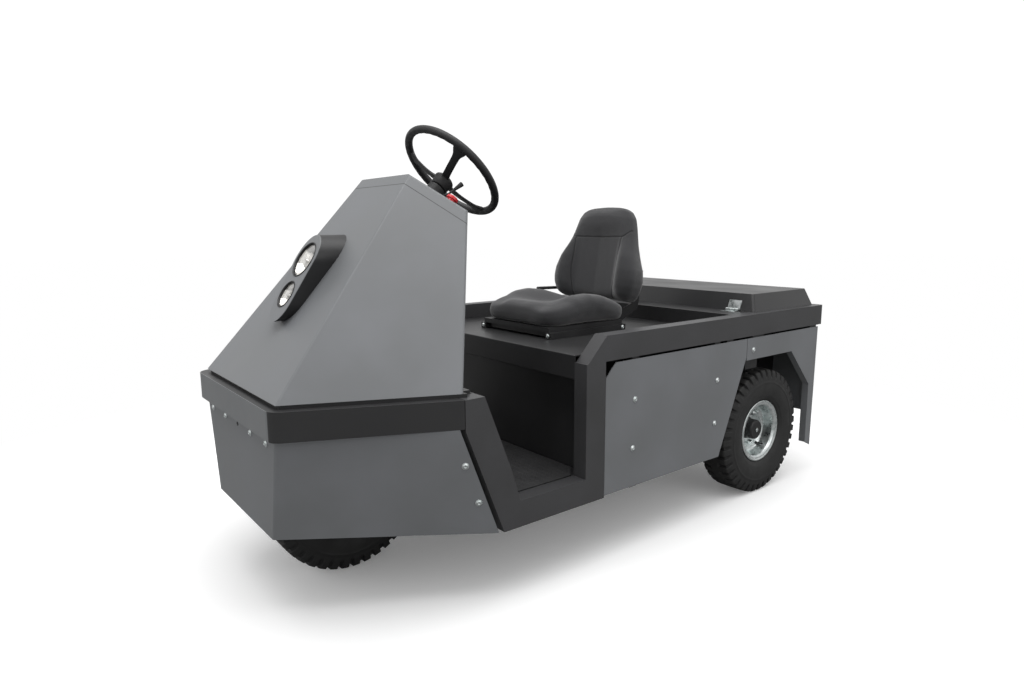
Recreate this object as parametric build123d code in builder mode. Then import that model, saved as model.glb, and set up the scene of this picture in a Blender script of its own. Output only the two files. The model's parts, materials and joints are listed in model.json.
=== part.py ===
from build123d import *
import os
from math import atan2, cos, degrees, hypot, radians, sin

# Three-wheeled electric tow tractor, in millimetres.
# X points to the driver's left, Y to the rear and Z up; the origin is on the floor,
# under the middle of the overall length. The driver's cell is placed from the nose
# and the rear axle group from the tail, so a longer body gets a longer battery bay.
os.makedirs("parts", exist_ok=True)

# --- Overall ---------------------------------------------------------------------
body_length = 2450          # nose of the bumper band to the back of the rear rail
body_width = 1128           # across the rails and the door frames
jaw_reach = 50              # the tow jaw stands out behind the rear rail
overall_length = body_length + jaw_reach
nose = -overall_length / 2
tail = nose + body_length
half_width = body_width / 2

# --- Sheet, tube and clearances --------------------------------------------------
sheet = 4                   # folded steel sheet of panels and decks
thin_sheet = 3              # cowl and lid
plate = 10                  # welded chassis plate
tube_width = 58             # box section of rails and door frames
bend = 10                   # outside radius of the large folded corners
edge_bend = 3               # outside radius of the tighter folds
skin_gap = 2                # panels sit this far inside the tube faces
seat_gap = 0.3              # rest clearance between separate pieces
run_gap = 5                 # clearance between parts that move past each other
pin_gap = 0.3               # radial clearance of pins and pivots
inner_half = half_width - tube_width
panel_face = half_width - skin_gap

# --- Wheels ----------------------------------------------------------------------
tyre_diameter = 540
tyre_width = 145
bead_width = 104
rim_seat_diameter = 228.6
rim_flange_diameter = 268
lug_count = 40
lug_depth = 10
lug_share = 0.62            # lug length over lug pitch
centre_groove = 8           # between the two rows of tread blocks
wheel_radius = tyre_diameter / 2
front_axle = nose + 354
rear_axle = tail - 408
rear_tyre_face = half_width - 16
rear_tyre_centre = rear_tyre_face - tyre_width / 2

# --- Heights ---------------------------------------------------------------------
sill_bottom = 230
sill_top = sill_bottom + 85
floor_top = sill_top - 7
deck_height = 728           # seat deck
skirt_bottom = deck_height - 82
rail_bottom = deck_height - 23
rail_top = deck_height + 64
fender_top = rail_bottom - 9
panel_bottom = sill_bottom + 6
tray_low = sill_bottom + 2
band_bottom = 580
band_top = 665
cowl_base = band_top + 11

# --- Stations of the driver's cell -----------------------------------------------
post_front = nose + 480
doorway_front = nose + 679
doorway_back = nose + 957
heel_wall = nose + 1019
sill_back = nose + 1045
panel_front = nose + 1048
seat_front = nose + 1100

# --- Stations of the axle group --------------------------------------------------
bulkhead = tail - 738
tub_back = tail - 629
fender_front = tail - 585
lid_front = tail - 496
rear_panel_y = tail - 46

SIDES = (("left", 1), ("right", -1))


def keep(piece, node):
    """Label a finished piece and write it to its own STEP file."""
    piece.part.label = node
    export_step(piece.part, f"parts/{node}.step")


def leaning_side(sign, point, flare, lean):
    """Plane of a flat side that passes the point (x, y, z) on the left, or its mirror.

    The side spreads by flare per millimetre rearwards and by lean per millimetre up.
    """
    x, y, z = point
    return Plane(origin=(sign * x, y, z), z_dir=(sign, -flare, -lean))


# === Door frames: front post, sill and rear post in one box section ==============
# The front post leans back to a knee, then runs down to the sill.
# Columns: station, height; from the top of the post's rear edge.
post_crown = 68             # length of the front post's top end
knee_back, knee_height = 165, 422
post_shoulder = band_bottom - 7
post_foot = post_front + 136
POST_REAR = (
    (post_front + post_crown, band_top), (post_front + knee_back, knee_height),
    (doorway_front, sill_top),
)
DOOR_FRAME = (
    (post_front, band_top), (post_front, post_shoulder), (post_foot, sill_bottom),
    (sill_back, sill_bottom), (sill_back, rail_bottom), (doorway_back, rail_bottom),
    (doorway_back, sill_top), *reversed(POST_REAR),
)
for side, sign in SIDES:
    with BuildPart() as door_frame:
        with BuildSketch(Plane.YZ.offset(inner_half if sign > 0 else -half_width)):
            with BuildLine():
                Polyline(*DOOR_FRAME, close=True)
            make_face()
        extrude(amount=tube_width)
    keep(door_frame, f"door_frame_{side}")

# === Bumper band: a bent flat bar with a flange round its top =====================
nose_draw = 216             # the nose is this much narrower than the body, each side
flare_length = 475
nose_half = half_width - nose_draw
nose_radius = 49
band_thickness = 6
band_flange = 42
band_rear = post_front - 2
band_end_half = half_width - 1


def band_outline():
    """Plan of the nose: straight across the front, then flaring back past the doors."""
    spread = 1.2 * nose_draw
    back = nose + 1.2 * flare_length
    Polyline(
        (nose_half + spread, back), (nose_half, nose),
        (-nose_half, nose), (-nose_half - spread, back), close=True,
    )


with BuildPart() as bumper_band:
    for base, height, depth in (
        (band_bottom, band_top - band_bottom, band_thickness),
        (band_top - sheet, sheet, band_flange),
    ):
        with BuildSketch(Plane.XY.offset(base)) as band_plan:
            with BuildLine():
                band_outline()
            make_face()
            fillet(band_plan.vertices().group_by(Axis.Y)[0], nose_radius)
            offset(amount=-depth, kind=Kind.INTERSECTION, mode=Mode.SUBTRACT)
        extrude(amount=height)
    with BuildSketch(Plane.XY.offset(band_bottom)):
        with Locations((0, (nose + band_rear) / 2)):
            Rectangle(2 * band_end_half, band_rear - nose)
    extrude(amount=band_top - band_bottom, mode=Mode.INTERSECT)
keep(bumper_band, "bumper_band")

# === Front apron: bent sheet across the nose and down both sides ==================
apron_front = nose + 20
apron_half = half_width - 241   # at the nose, under the band
apron_flare = 0.535             # sideways per millimetre rearwards
apron_lean = 0.215              # outwards per millimetre up
apron_low = sill_bottom + 39    # lower edge at the nose
apron_back_top = post_front - 17
apron_back_low = post_front + 120
apron_top = band_bottom - seat_gap
apron_lip = 60                  # height of the strip that stands up inside the band
apron_fold = 30                 # width of the fold that leads out to the strip
with BuildPart() as front_apron:
    with BuildSketch(Plane.YZ.offset(-half_width)):
        with BuildLine():
            Polyline(
                (apron_front, apron_low), (apron_back_low, sill_bottom),
                (apron_back_top, apron_top), (apron_front, apron_top), close=True,
            )
        make_face()
    extrude(amount=body_width)
    for side, sign in SIDES:
        corner = (apron_half, apron_front, band_bottom)
        split(bisect_by=leaning_side(sign, corner, apron_flare, apron_lean), keep=Keep.BOTTOM)
    nose_face = front_apron.faces().sort_by(Axis.Y)[0]
    fillet(nose_face.edges().filter_by(lambda edge: abs(edge.center().X) > apron_half / 2), bend)
    across = front_apron.faces().filter_by(
        lambda face: abs(face.normal_at().X) < 0.01 and face.normal_at().Y > -0.99
    )
    offset(amount=-sheet, openings=across)
    for base, height, depth in (
        (apron_top - sheet, sheet, apron_fold), (apron_top, apron_lip, sheet),
    ):
        with BuildSketch(Plane.XY.offset(base)) as lip_plan:
            with BuildLine():
                band_outline()
            make_face()
            fillet(lip_plan.vertices().group_by(Axis.Y)[0], nose_radius)
            inner_band = band_thickness + seat_gap
            offset(amount=-inner_band, kind=Kind.INTERSECTION, mode=Mode.REPLACE)
            offset(amount=-depth, kind=Kind.INTERSECTION, mode=Mode.SUBTRACT)
            with Locations((0, apron_back_top + flare_length)):
                Rectangle(2 * body_width, 2 * flare_length, mode=Mode.SUBTRACT)
        extrude(amount=height)
keep(front_apron, "front_apron")

# === Front deck: top of the wheel bay, with the steering bearing under it =========
bearing_radius = 95
bearing_bottom = wheel_radius + 330
kingpin_radius = 25
deck_inset = 34
deck_back = post_front + 66
deck_ear = post_front + 24      # outside the posts the deck ends under the cowl
with BuildPart() as front_deck:
    with BuildSketch(Plane.XY.offset(band_top)) as deck_plan:
        with BuildLine():
            band_outline()
        make_face()
        fillet(deck_plan.vertices().group_by(Axis.Y)[0], nose_radius)
        offset(amount=-deck_inset, kind=Kind.INTERSECTION, mode=Mode.REPLACE)
        with Locations((0, deck_back + flare_length)):
            Rectangle(2 * body_width, 2 * flare_length, mode=Mode.SUBTRACT)
        for side, sign in SIDES:
            with Locations((sign * (inner_half + tube_width), deck_ear + tube_width)):
                Rectangle(2 * tube_width, 2 * tube_width, mode=Mode.SUBTRACT)
    extrude(amount=cowl_base - band_top)
    with BuildSketch(Plane.XY.offset(bearing_bottom)):
        with Locations((0, front_axle)):
            Circle(bearing_radius)
    extrude(amount=band_top - bearing_bottom)
    with Locations((0, front_axle, cowl_base)):
        Hole(kingpin_radius + pin_gap)
keep(front_deck, "front_deck")

# === Cowl: four leaning sheets, closed by the dash cap ============================
cowl_front = nose + 25.4
cowl_back = post_front + 19.7
cowl_front_half = half_width - 237
cowl_back_half = half_width - 25
front_rake = 0.823          # rearward per millimetre up
rear_rake = 0.364           # rearward per millimetre up
side_lean = 0.615           # inward per millimetre up
seam_front_z = 1283.4       # seam between cowl and cap, at the front edge
seam_back_z = 1151.2
dash_front_z = 1314.6       # dash surface, at its front edge
dash_back_z = 1195.7
cowl_flange = 30            # width of the fold that rests on the front deck
cowl_flare = (cowl_back_half - cowl_front_half) / (cowl_back - cowl_front)


def cowl_front_at(height):
    """Station of the cowl's front sheet at one height."""
    return cowl_front + front_rake * (height - cowl_base)


def cowl_back_at(height):
    """Station of the cowl's rear sheet at one height."""
    return cowl_back + rear_rake * (height - cowl_base)


def cowl_cut(front_z, back_z):
    """Sloping plane through the cowl, by its heights at the front and the back sheet."""
    front, back = cowl_front_at(front_z), cowl_back_at(back_z)
    return Plane(origin=(0, front, front_z), z_dir=(0, front_z - back_z, back - front))


def cowl_block(inset=0):
    """Solid wedge inside the cowl's four walls, foot and dash, drawn in by an inset."""
    corner = (cowl_front_half, cowl_front, cowl_base)
    walls = [
        Plane(origin=(0, cowl_front, cowl_base), z_dir=(0, -1, front_rake)),
        Plane(origin=(0, cowl_back, cowl_base), z_dir=(0, 1, -rear_rake)),
        *[leaning_side(sign, corner, cowl_flare, -side_lean) for side, sign in SIDES],
        dash,
    ]
    with BuildPart() as block:
        with BuildSketch(Plane.XY.offset(cowl_base + inset)):
            with Locations((0, nose + body_width / 2)):
                Rectangle(body_width, body_width)
        extrude(amount=body_width)
        for wall in walls:
            split(bisect_by=wall.offset(-inset), keep=Keep.BOTTOM)
        corners = block.edges().filter_by(
            lambda edge: abs(edge.tangent_at(0.5).X) > 0.1 and abs(edge.tangent_at(0.5).Z) > 0.5
        )
        fillet(corners, bend - inset)
    return block.part


seam = cowl_cut(seam_front_z, seam_back_z)
dash = cowl_cut(dash_front_z, dash_back_z)
cowl_outside = cowl_block()
cowl_inside = cowl_block(thin_sheet)
with BuildPart() as cowl_shell:
    add(cowl_outside)
    add(cowl_inside, mode=Mode.SUBTRACT)
    split(bisect_by=seam, keep=Keep.BOTTOM)
    draw_in = cowl_flange * (hypot(1, cowl_flare) - cowl_flare)
    draw_back = cowl_flange * (hypot(1, cowl_flare) + cowl_flare)
    with BuildSketch(Plane.XY.offset(cowl_base)):
        with BuildLine():
            Polyline(
                (cowl_front_half - draw_in, cowl_front + cowl_flange),
                (cowl_back_half - draw_back, cowl_back - cowl_flange),
                (draw_back - cowl_back_half, cowl_back - cowl_flange),
                (draw_in - cowl_front_half, cowl_front + cowl_flange), close=True,
            )
        make_face()
    extrude(amount=thin_sheet, mode=Mode.SUBTRACT)
keep(cowl_shell, "cowl_shell")

# Steering column and handwheel share one axis, square to the handwheel.
wheel_tilt = 46             # handwheel plane from the horizontal
rim_radius = 204            # outside of the handwheel
rim_tube = 14               # radius of the rim tube
hand_y, hand_z = nose + 820, 1342.6
column_axis = Vector(0, sin(radians(wheel_tilt)), cos(radians(wheel_tilt)))
hand_centre = Vector(0, hand_y, hand_z)
column_radius = 17
column_gap = 1              # round the column where it passes the dash
column_length = 300
shaft_radius = 10
shaft_length = 92           # under the hub

with BuildPart() as dash_cap:
    add(cowl_outside)
    add(cowl_inside, mode=Mode.SUBTRACT)
    split(bisect_by=seam, keep=Keep.TOP)
    with BuildSketch(Plane(origin=hand_centre, z_dir=-column_axis)):
        Circle(column_radius + column_gap)
    extrude(amount=column_length, mode=Mode.SUBTRACT)
keep(dash_cap, "dash_cap")

# === Steering column, its flange on the dash, and the direction lever =============
hub_drop = 40               # top of the handwheel hub, below the rim plane
hub_height = 42
hub_radius = 34
hub_bottom = hub_drop + hub_height
column_top = hub_bottom + run_gap
head_length = 58            # column head with the lever switch
head_radius = 33
flange_width = 110
flange_length = 64
flange_thickness = 6
flange_margin = 2           # from the dash's rear edge
flange_corner = 8


def on_column(distance):
    """Point on the column axis, a distance below the rim plane."""
    return hand_centre - column_axis * distance


dash_front_edge = Vector(0, cowl_front_at(dash_front_z), dash_front_z)
dash_back_edge = Vector(0, cowl_back_at(dash_back_z), dash_back_z)
dash_down = (dash_back_edge - dash_front_edge).normalized()
dash_normal = Vector(0, -dash_down.Z, dash_down.Y)


def on_dash(x, up_slope):
    """Point on the dash surface, a distance up the slope from its rear edge."""
    return dash_back_edge - dash_down * up_slope + Vector(x, 0, 0)


with BuildPart() as steering_column:
    with BuildSketch(Plane(origin=on_column(column_top), z_dir=-column_axis)):
        Circle(head_radius)
    extrude(amount=head_length)
    with BuildSketch(Plane(origin=on_column(column_top), z_dir=-column_axis)):
        Circle(column_radius)
    extrude(amount=column_length - column_top)
    flange_centre = on_dash(0, flange_length / 2 + flange_margin)
    with BuildSketch(Plane(origin=flange_centre, x_dir=(1, 0, 0), z_dir=dash_normal)):
        RectangleRounded(flange_width, flange_length, flange_corner)
    extrude(amount=flange_thickness)
    with BuildSketch(Plane(origin=on_column(column_top), z_dir=-column_axis)):
        Circle(shaft_radius + pin_gap)
    extrude(amount=column_length, mode=Mode.SUBTRACT)
keep(steering_column, "steering_column")

# Columns: sideways, behind the handwheel's centre, above it.
LEVER_ROUTE = ((head_radius + 1.6, -93.5, -90.3), (90, -80, -86.6), (95.4, -20.6, -47.9))
lever_radius = 4
lever_bend = 18
knob_radius = 9
knob_length = 34
knob_taper = 6
with BuildPart() as direction_lever:
    with BuildLine():
        lever_wire = FilletPolyline(*[hand_centre + Vector(*p) for p in LEVER_ROUTE], radius=lever_bend)
    with BuildSketch(Plane(origin=lever_wire @ 0, z_dir=lever_wire % 0)):
        RegularPolygon(lever_radius, 6)
    sweep()
    with BuildSketch(Plane(origin=lever_wire @ 1, z_dir=-(lever_wire % 1))):
        Circle(knob_radius)
    extrude(amount=knob_length, taper=knob_taper)
keep(direction_lever, "direction_lever")

# === Handwheel ====================================================================
spoke_angles = (-30, 90, 210)   # from the driver's left, the way the wheel turns
spoke_root, spoke_waist, spoke_reach = 12, 96, 188  # along the spoke, from the hub's axis
spoke_narrow, spoke_wide = 12, 31                   # half-widths at the waist and the rim
spoke_thickness = 8
hub_spoke_drop = 52                                 # the spokes leave the hub this far down
with BuildPart() as handwheel:
    rim_plane = Plane(
        origin=hand_centre, x_dir=(1, 0, 0), z_dir=column_axis.cross(Vector(1, 0, 0))
    )
    with BuildSketch(rim_plane):
        with Locations((rim_radius - rim_tube, 0)):
            RegularPolygon(rim_tube, 8)
    revolve(axis=Axis(hand_centre, column_axis))
    with BuildSketch(Plane(origin=on_column(hub_drop), z_dir=-column_axis)):
        Circle(hub_radius)
    extrude(amount=hub_height)
    for angle in spoke_angles:
        outward = Vector(1, 0, 0).rotate(Axis((0, 0, 0), column_axis), angle)
        climb = (outward * (rim_radius - rim_tube) + column_axis * hub_spoke_drop).normalized()
        across_spoke = column_axis.cross(outward)
        with BuildSketch(Plane(origin=on_column(hub_spoke_drop), x_dir=climb,
                               z_dir=climb.cross(across_spoke))):
            with BuildLine():
                Polyline(
                    (spoke_root, spoke_narrow), (spoke_waist, spoke_narrow),
                    (spoke_reach, spoke_wide), (spoke_reach, -spoke_wide),
                    (spoke_waist, -spoke_narrow), (spoke_root, -spoke_narrow), close=True,
                )
            make_face()
        extrude(amount=spoke_thickness / 2, both=True)
    with BuildSketch(Plane(origin=on_column(hub_bottom - 1), z_dir=-column_axis)):
        Circle(shaft_radius)
    extrude(amount=shaft_length)
keep(handwheel, "handwheel")

# === Stop button on the dash ======================================================
button_x = half_width - 329
button_up = 44              # up the dash from its rear edge
# Columns: radius, height above the dash; a stem under a shallow mushroom head.
BUTTON_SIDE = ((0, 0), (15, 0), (15, 11), (20, 11), (20, 20), (0, 24))
button_base = on_dash(button_x, button_up)
with BuildPart() as stop_button:
    with BuildSketch(Plane(origin=button_base, x_dir=(1, 0, 0), z_dir=-dash_down)):
        with BuildLine():
            Polyline(*BUTTON_SIDE, close=True)
        make_face()
    revolve(axis=Axis(button_base, dash_normal))
keep(stop_button, "stop_button")

# === Lamp pod: two lamps in one housing, behind a leaning bezel plate =============
upper_lamp_z, lower_lamp_z = 1049, 943
upper_lamp_radius, lower_lamp_radius = 62, 47
pod_upper_radius, pod_lower_radius = 76, 64
pod_lower_z = 924
pod_face_y = nose + 193     # the leaning face, at the height of the lower lamp
pod_lean = 65 / 106         # rearward per millimetre up
bezel_thickness = 2
lamp_depth = 52
face_normal = Vector(0, -1, pod_lean).normalized()
LAMPS = ((upper_lamp_z, upper_lamp_radius), (lower_lamp_z, lower_lamp_radius))


def on_pod_face(height, depth=0):
    """Centre of the pod's leaning face at one height, or a depth behind it."""
    face = Vector(0, pod_face_y + pod_lean * (height - lower_lamp_z), height)
    return face - face_normal * depth


cowl_skin = Plane(origin=(0, cowl_front, cowl_base), z_dir=(0, 1, -front_rake))
for node, front, back in (
    ("lamp_bezel", Plane(origin=on_pod_face(lower_lamp_z), z_dir=face_normal),
     Plane(origin=on_pod_face(lower_lamp_z, bezel_thickness), z_dir=-face_normal)),
    ("lamp_pod", Plane(origin=on_pod_face(lower_lamp_z, bezel_thickness), z_dir=face_normal),
     cowl_skin),
):
    with BuildPart() as housing:
        with BuildSketch(Plane.XZ.offset(-nose)):
            with Locations((0, upper_lamp_z)):
                Circle(pod_upper_radius)
            with Locations((0, pod_lower_z)):
                Circle(pod_lower_radius)
            make_hull()
        extrude(amount=-body_width)
        split(bisect_by=front, keep=Keep.BOTTOM)
        split(bisect_by=back, keep=Keep.BOTTOM)
        for height, radius in LAMPS:
            with BuildSketch(Plane(origin=on_pod_face(height), z_dir=-face_normal)):
                Circle(radius)
            extrude(amount=lamp_depth, mode=Mode.SUBTRACT)
    keep(housing, node)

# Half sections as shares of the lamp's radius and depths behind its rim.
LENS_SIDE = ((0, -2), (1, 1), (1, 5), (0, 5))
BOWL_SIDE = ((1, 0), (1, 3), (0.65, 19), (0, 28), (0, 25), (0.6, 16), (0.92, 0))
for node, depth_in, half_section in (
    ("lamp_bowls", 10, BOWL_SIDE), ("lamp_lenses", 4, LENS_SIDE),
):
    with BuildPart() as lamp_piece:
        for height, radius in LAMPS:
            rim = radius - seat_gap
            section = Plane(
                origin=on_pod_face(height, depth_in), x_dir=(1, 0, 0),
                z_dir=Vector(1, 0, 0).cross(face_normal),
            )
            with BuildSketch(section):
                with BuildLine():
                    Polyline(*[(share * rim, -depth) for share, depth in half_section], close=True)
                make_face()
            revolve(axis=Axis(on_pod_face(height), face_normal))
    keep(lamp_piece, node)

# === Kick plate between the front door posts, with two pedals =====================
KICK_LINE = (*POST_REAR, (doorway_front, floor_top - sheet))
with BuildPart() as kick_plate:
    with BuildSketch(Plane.YZ.offset(-inner_half)):
        with BuildLine():
            Polyline(*KICK_LINE, *[(y - sheet, z) for y, z in reversed(KICK_LINE)], close=True)
        make_face()
    extrude(amount=2 * inner_half)
keep(kick_plate, "kick_plate")


def kick_face(height):
    """Station of the lower kick plate's rear face at one height."""
    (y0, z0), (y1, z1) = POST_REAR[1:]
    return y0 + (y1 - y0) * (z0 - height) / (z0 - z1) + seat_gap


pad_y = doorway_front + 11  # front face of the pedal pads, at their lower edge
pad_z = floor_top + 22
pad_thickness = 12
pad_lean = 0.12             # forwards per millimetre up
arm_width = 20
arm_low, arm_high = floor_top + 68, floor_top + 92
# Columns: node, middle of the pedal, width, height.
PEDALS = (("drive_pedal", -170, 90, 190), ("brake_pedal", -20, 80, 150))
for node, pedal_x, pedal_wide, pedal_tall in PEDALS:
    with BuildPart() as pedal:
        with BuildSketch(Plane.YZ.offset(pedal_x - pedal_wide / 2)):
            with BuildLine():
                top_y, top_z = pad_y - pad_lean * pedal_tall, pad_z + pedal_tall
                Polyline(
                    (pad_y, pad_z), (pad_y + pad_thickness, pad_z),
                    (top_y + pad_thickness, top_z), (top_y, top_z), close=True,
                )
            make_face()
        extrude(amount=pedal_wide)
        with BuildSketch(Plane.YZ.offset(pedal_x - arm_width / 2)):
            with BuildLine():
                Polyline(
                    (kick_face(arm_low), arm_low), (pad_y, arm_low),
                    (pad_y, arm_high), (kick_face(arm_high), arm_high), close=True,
                )
            make_face()
        extrude(amount=arm_width)
    keep(pedal, node)

# === Floor of the footwell, with a rubber mat =====================================
mat_thickness = 4
mat_corner = 56
mat_side_margin, mat_end_margin = 15, 6
floor_length = heel_wall - doorway_front
floor_middle = (heel_wall + doorway_front) / 2
with BuildPart() as floor_plate:
    with BuildSketch(Plane.XY.offset(floor_top - sheet)):
        with Locations((0, floor_middle)):
            Rectangle(2 * inner_half, floor_length)
    extrude(amount=sheet)
keep(floor_plate, "floor_plate")

with BuildPart() as floor_mat:
    with BuildSketch(Plane.XY.offset(floor_top)) as mat_plan:
        with Locations((0, floor_middle)):
            Rectangle(2 * (inner_half - mat_side_margin), floor_length - 2 * mat_end_margin)
        chamfer(mat_plan.vertices().group_by(Axis.Y)[-1], mat_corner)
    extrude(amount=mat_thickness)
keep(floor_mat, "floor_mat")

# === Heel wall and seat deck ======================================================
with BuildPart() as heel_panel:
    with BuildSketch(Plane.XY.offset(floor_top - sheet)):
        with Locations((0, heel_wall + sheet / 2)):
            Rectangle(2 * inner_half, sheet)
    extrude(amount=skirt_bottom - floor_top + sheet)
keep(heel_panel, "heel_panel")

with BuildPart() as seat_deck:
    with BuildSketch(Plane.YZ.offset(-inner_half)):
        with BuildLine():
            deck_line = Polyline(
                (tub_back, deck_height - sheet), (doorway_back + sheet, deck_height - sheet),
                (doorway_back + sheet, skirt_bottom + sheet), (heel_wall + sheet, skirt_bottom + sheet),
                (heel_wall + sheet, skirt_bottom), (doorway_back, skirt_bottom),
                (doorway_back, deck_height), (tub_back, deck_height), close=True,
            )
        make_face()
    extrude(amount=2 * inner_half)
    front_folds = seat_deck.edges().filter_by(Axis.X).filter_by_position(
        Axis.Y, doorway_back - 1, doorway_back + 1
    )
    fillet(front_folds, edge_bend)
keep(seat_deck, "seat_deck")

# === Top rails ====================================================================
rail_nose_low = doorway_back + 6
rail_nose_high = panel_front
rail_corner = 14
for side, sign in SIDES:
    with BuildPart() as rail:
        with BuildSketch(Plane.YZ.offset(inner_half if sign > 0 else -half_width)):
            with BuildLine():
                Polyline(
                    (rail_nose_low, rail_bottom), (rail_nose_high, rail_top),
                    (tail, rail_top), (tail, rail_bottom), close=True,
                )
            make_face()
        extrude(amount=tube_width)
        outer_corner = rail.edges().filter_by(Axis.Z).sort_by(Axis.Y)[-2:]
        fillet(outer_corner.sort_by(Axis.X)[-1 if sign > 0 else 0], rail_corner)
    keep(rail, f"rail_{side}")

with BuildPart() as rail_rear:
    with BuildSketch(Plane.YZ.offset(-inner_half)):
        with Locations((tail - tube_width / 2, (rail_top + rail_bottom) / 2)):
            Rectangle(tube_width, rail_top - rail_bottom)
    extrude(amount=2 * inner_half)
keep(rail_rear, "rail_rear")

# === Rear deck: front wall and top plate round the locker opening =================
locker_front = tub_back + 169
locker_back = tail - tube_width - 24
locker_half = inner_half - 36
with BuildPart() as rear_deck:
    with BuildSketch(Plane.YZ.offset(-inner_half)):
        with BuildLine():
            Polyline(
                (tub_back, deck_height - sheet), (tub_back, rail_top),
                (tail - tube_width, rail_top), (tail - tube_width, rail_top - sheet),
                (tub_back + sheet, rail_top - sheet), (tub_back + sheet, deck_height - sheet),
                close=True,
            )
        make_face()
    extrude(amount=2 * inner_half)
    with BuildSketch(Plane.XY.offset(rail_top)):
        with Locations((0, (locker_front + locker_back) / 2)):
            Rectangle(2 * locker_half, locker_back - locker_front)
    extrude(amount=-sheet, mode=Mode.SUBTRACT)
keep(rear_deck, "rear_deck")

# === Rear lid, a folded tray upside down over the locker ==========================
lid_back = tail - 28
lid_half = half_width - 35
lid_rise = 72.7
lid_draw = 26               # the top is this much smaller, on every side
lid_corner = 12
lid_base = rail_top + seat_gap
with BuildPart() as rear_lid:
    with BuildSketch(Plane.XY.offset(lid_base)):
        with Locations((0, (lid_front + lid_back) / 2)):
            Rectangle(2 * lid_half, lid_back - lid_front)
    extrude(amount=lid_rise, taper=degrees(atan2(lid_draw, lid_rise)))
    rising = rear_lid.edges().filter_by(lambda edge: abs(edge.tangent_at(0.5).Z) > 0.5)
    fillet(rising, lid_corner)
    offset(amount=-thin_sheet, openings=rear_lid.faces().sort_by(Axis.Z)[0])
keep(rear_lid, "rear_lid")

# === Lid hinges: fixed leaf and knuckle, and the leaf on the lid's front face =====
hinge_x = half_width - 134
hinge_wide = 60
knuckle_radius = 6
knuckle_reach = 8           # the hinge pin stands this far in front of the lid
hinge_y = lid_front - knuckle_reach
hinge_z = rail_top + knuckle_radius + 0.5
hinge_pin = 2.5
leaf = 2.5
centre_knuckle = 22
leaf_gap = 0.5              # along the pin, between the knuckles
base_length = 38
leaf_rise = 44
lid_slope = lid_draw / lid_rise
with BuildPart() as hinge_bases:
    for side, sign in SIDES:
        middle = sign * hinge_x
        with BuildSketch(Plane.YZ.offset(middle - centre_knuckle / 2)):
            with Locations((hinge_y, hinge_z)):
                Circle(knuckle_radius)
            with Locations((hinge_y - knuckle_radius / 2, rail_top + leaf / 2)):
                Rectangle(2 * knuckle_radius, leaf)
        extrude(amount=centre_knuckle)
        with BuildSketch(Plane.XY.offset(rail_top)):
            with Locations((middle, hinge_y - knuckle_radius - 1 - base_length / 2)):
                Rectangle(hinge_wide, base_length)
        extrude(amount=leaf)
        with BuildSketch(Plane.YZ.offset(middle - hinge_wide / 2)):
            with Locations((hinge_y, hinge_z)):
                Circle(hinge_pin)
        extrude(amount=hinge_wide)
keep(hinge_bases, "hinge_bases")


def lid_face(height):
    """Station just in front of the lid's sloping front face, at a height above its base."""
    return lid_front + lid_slope * height - seat_gap / cos(atan2(lid_draw, lid_rise))


with BuildPart() as hinge_leaves:
    for side, sign in SIDES:
        middle = sign * hinge_x
        with BuildSketch(Plane.YZ.offset(middle - hinge_wide / 2)):
            with Locations((hinge_y, hinge_z)):
                Circle(knuckle_radius)
            with BuildLine():
                low, high = hinge_z - lid_base, leaf_rise
                Polyline(
                    (hinge_y, hinge_z), (lid_face(low), hinge_z), (lid_face(high), lid_base + high),
                    (lid_face(high) - leaf, lid_base + high),
                    (lid_face(low) - leaf, hinge_z + leaf), (hinge_y, hinge_z + leaf), close=True,
                )
            make_face()
        extrude(amount=hinge_wide)
        with BuildSketch(Plane.YZ.offset(middle - centre_knuckle / 2 - leaf_gap)):
            with Locations((hinge_y, hinge_z)):
                Rectangle(2 * knuckle_reach, 2 * knuckle_reach)
        extrude(amount=centre_knuckle + 2 * leaf_gap, mode=Mode.SUBTRACT)
        with BuildSketch(Plane.YZ.offset(middle - hinge_wide / 2)):
            with Locations((hinge_y, hinge_z)):
                Circle(hinge_pin + pin_gap)
        extrude(amount=hinge_wide, mode=Mode.SUBTRACT)
keep(hinge_leaves, "hinge_leaves")

# === Side panels over the battery =================================================
panel_joint = fender_front - 3
# Columns: station, height.
SIDE_PANEL = (
    (panel_front, panel_bottom), (panel_front, skirt_bottom), (panel_front + 48, fender_top),
    (panel_joint, fender_top), (panel_joint, wheel_radius + 351),
    (panel_joint - 163, panel_bottom),
)
for side, sign in SIDES:
    with BuildPart() as side_panel:
        with BuildSketch(Plane.YZ.offset(panel_face - sheet if sign > 0 else -panel_face)):
            with BuildLine():
                Polyline(*SIDE_PANEL, close=True)
            make_face()
        extrude(amount=sheet)
    keep(side_panel, f"side_panel_{side}")

# === Rear fenders: plate with the wheel cut-out and a flange turned inwards =======
arch_top = wheel_radius + 336
arch_flange = 30
# Columns: station, height; the cut-out, from its front corner round to the rear.
FENDER_ARCH = (
    (fender_front, arch_top), (rear_axle + 162, arch_top),
    (rear_axle + 325, wheel_radius + 166), (rear_axle + 325, wheel_radius - 109),
)
FENDER_BACK = (
    (rear_axle + 368, wheel_radius - 129), (rear_axle + 375, fender_top),
    (fender_front, fender_top),
)
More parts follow.
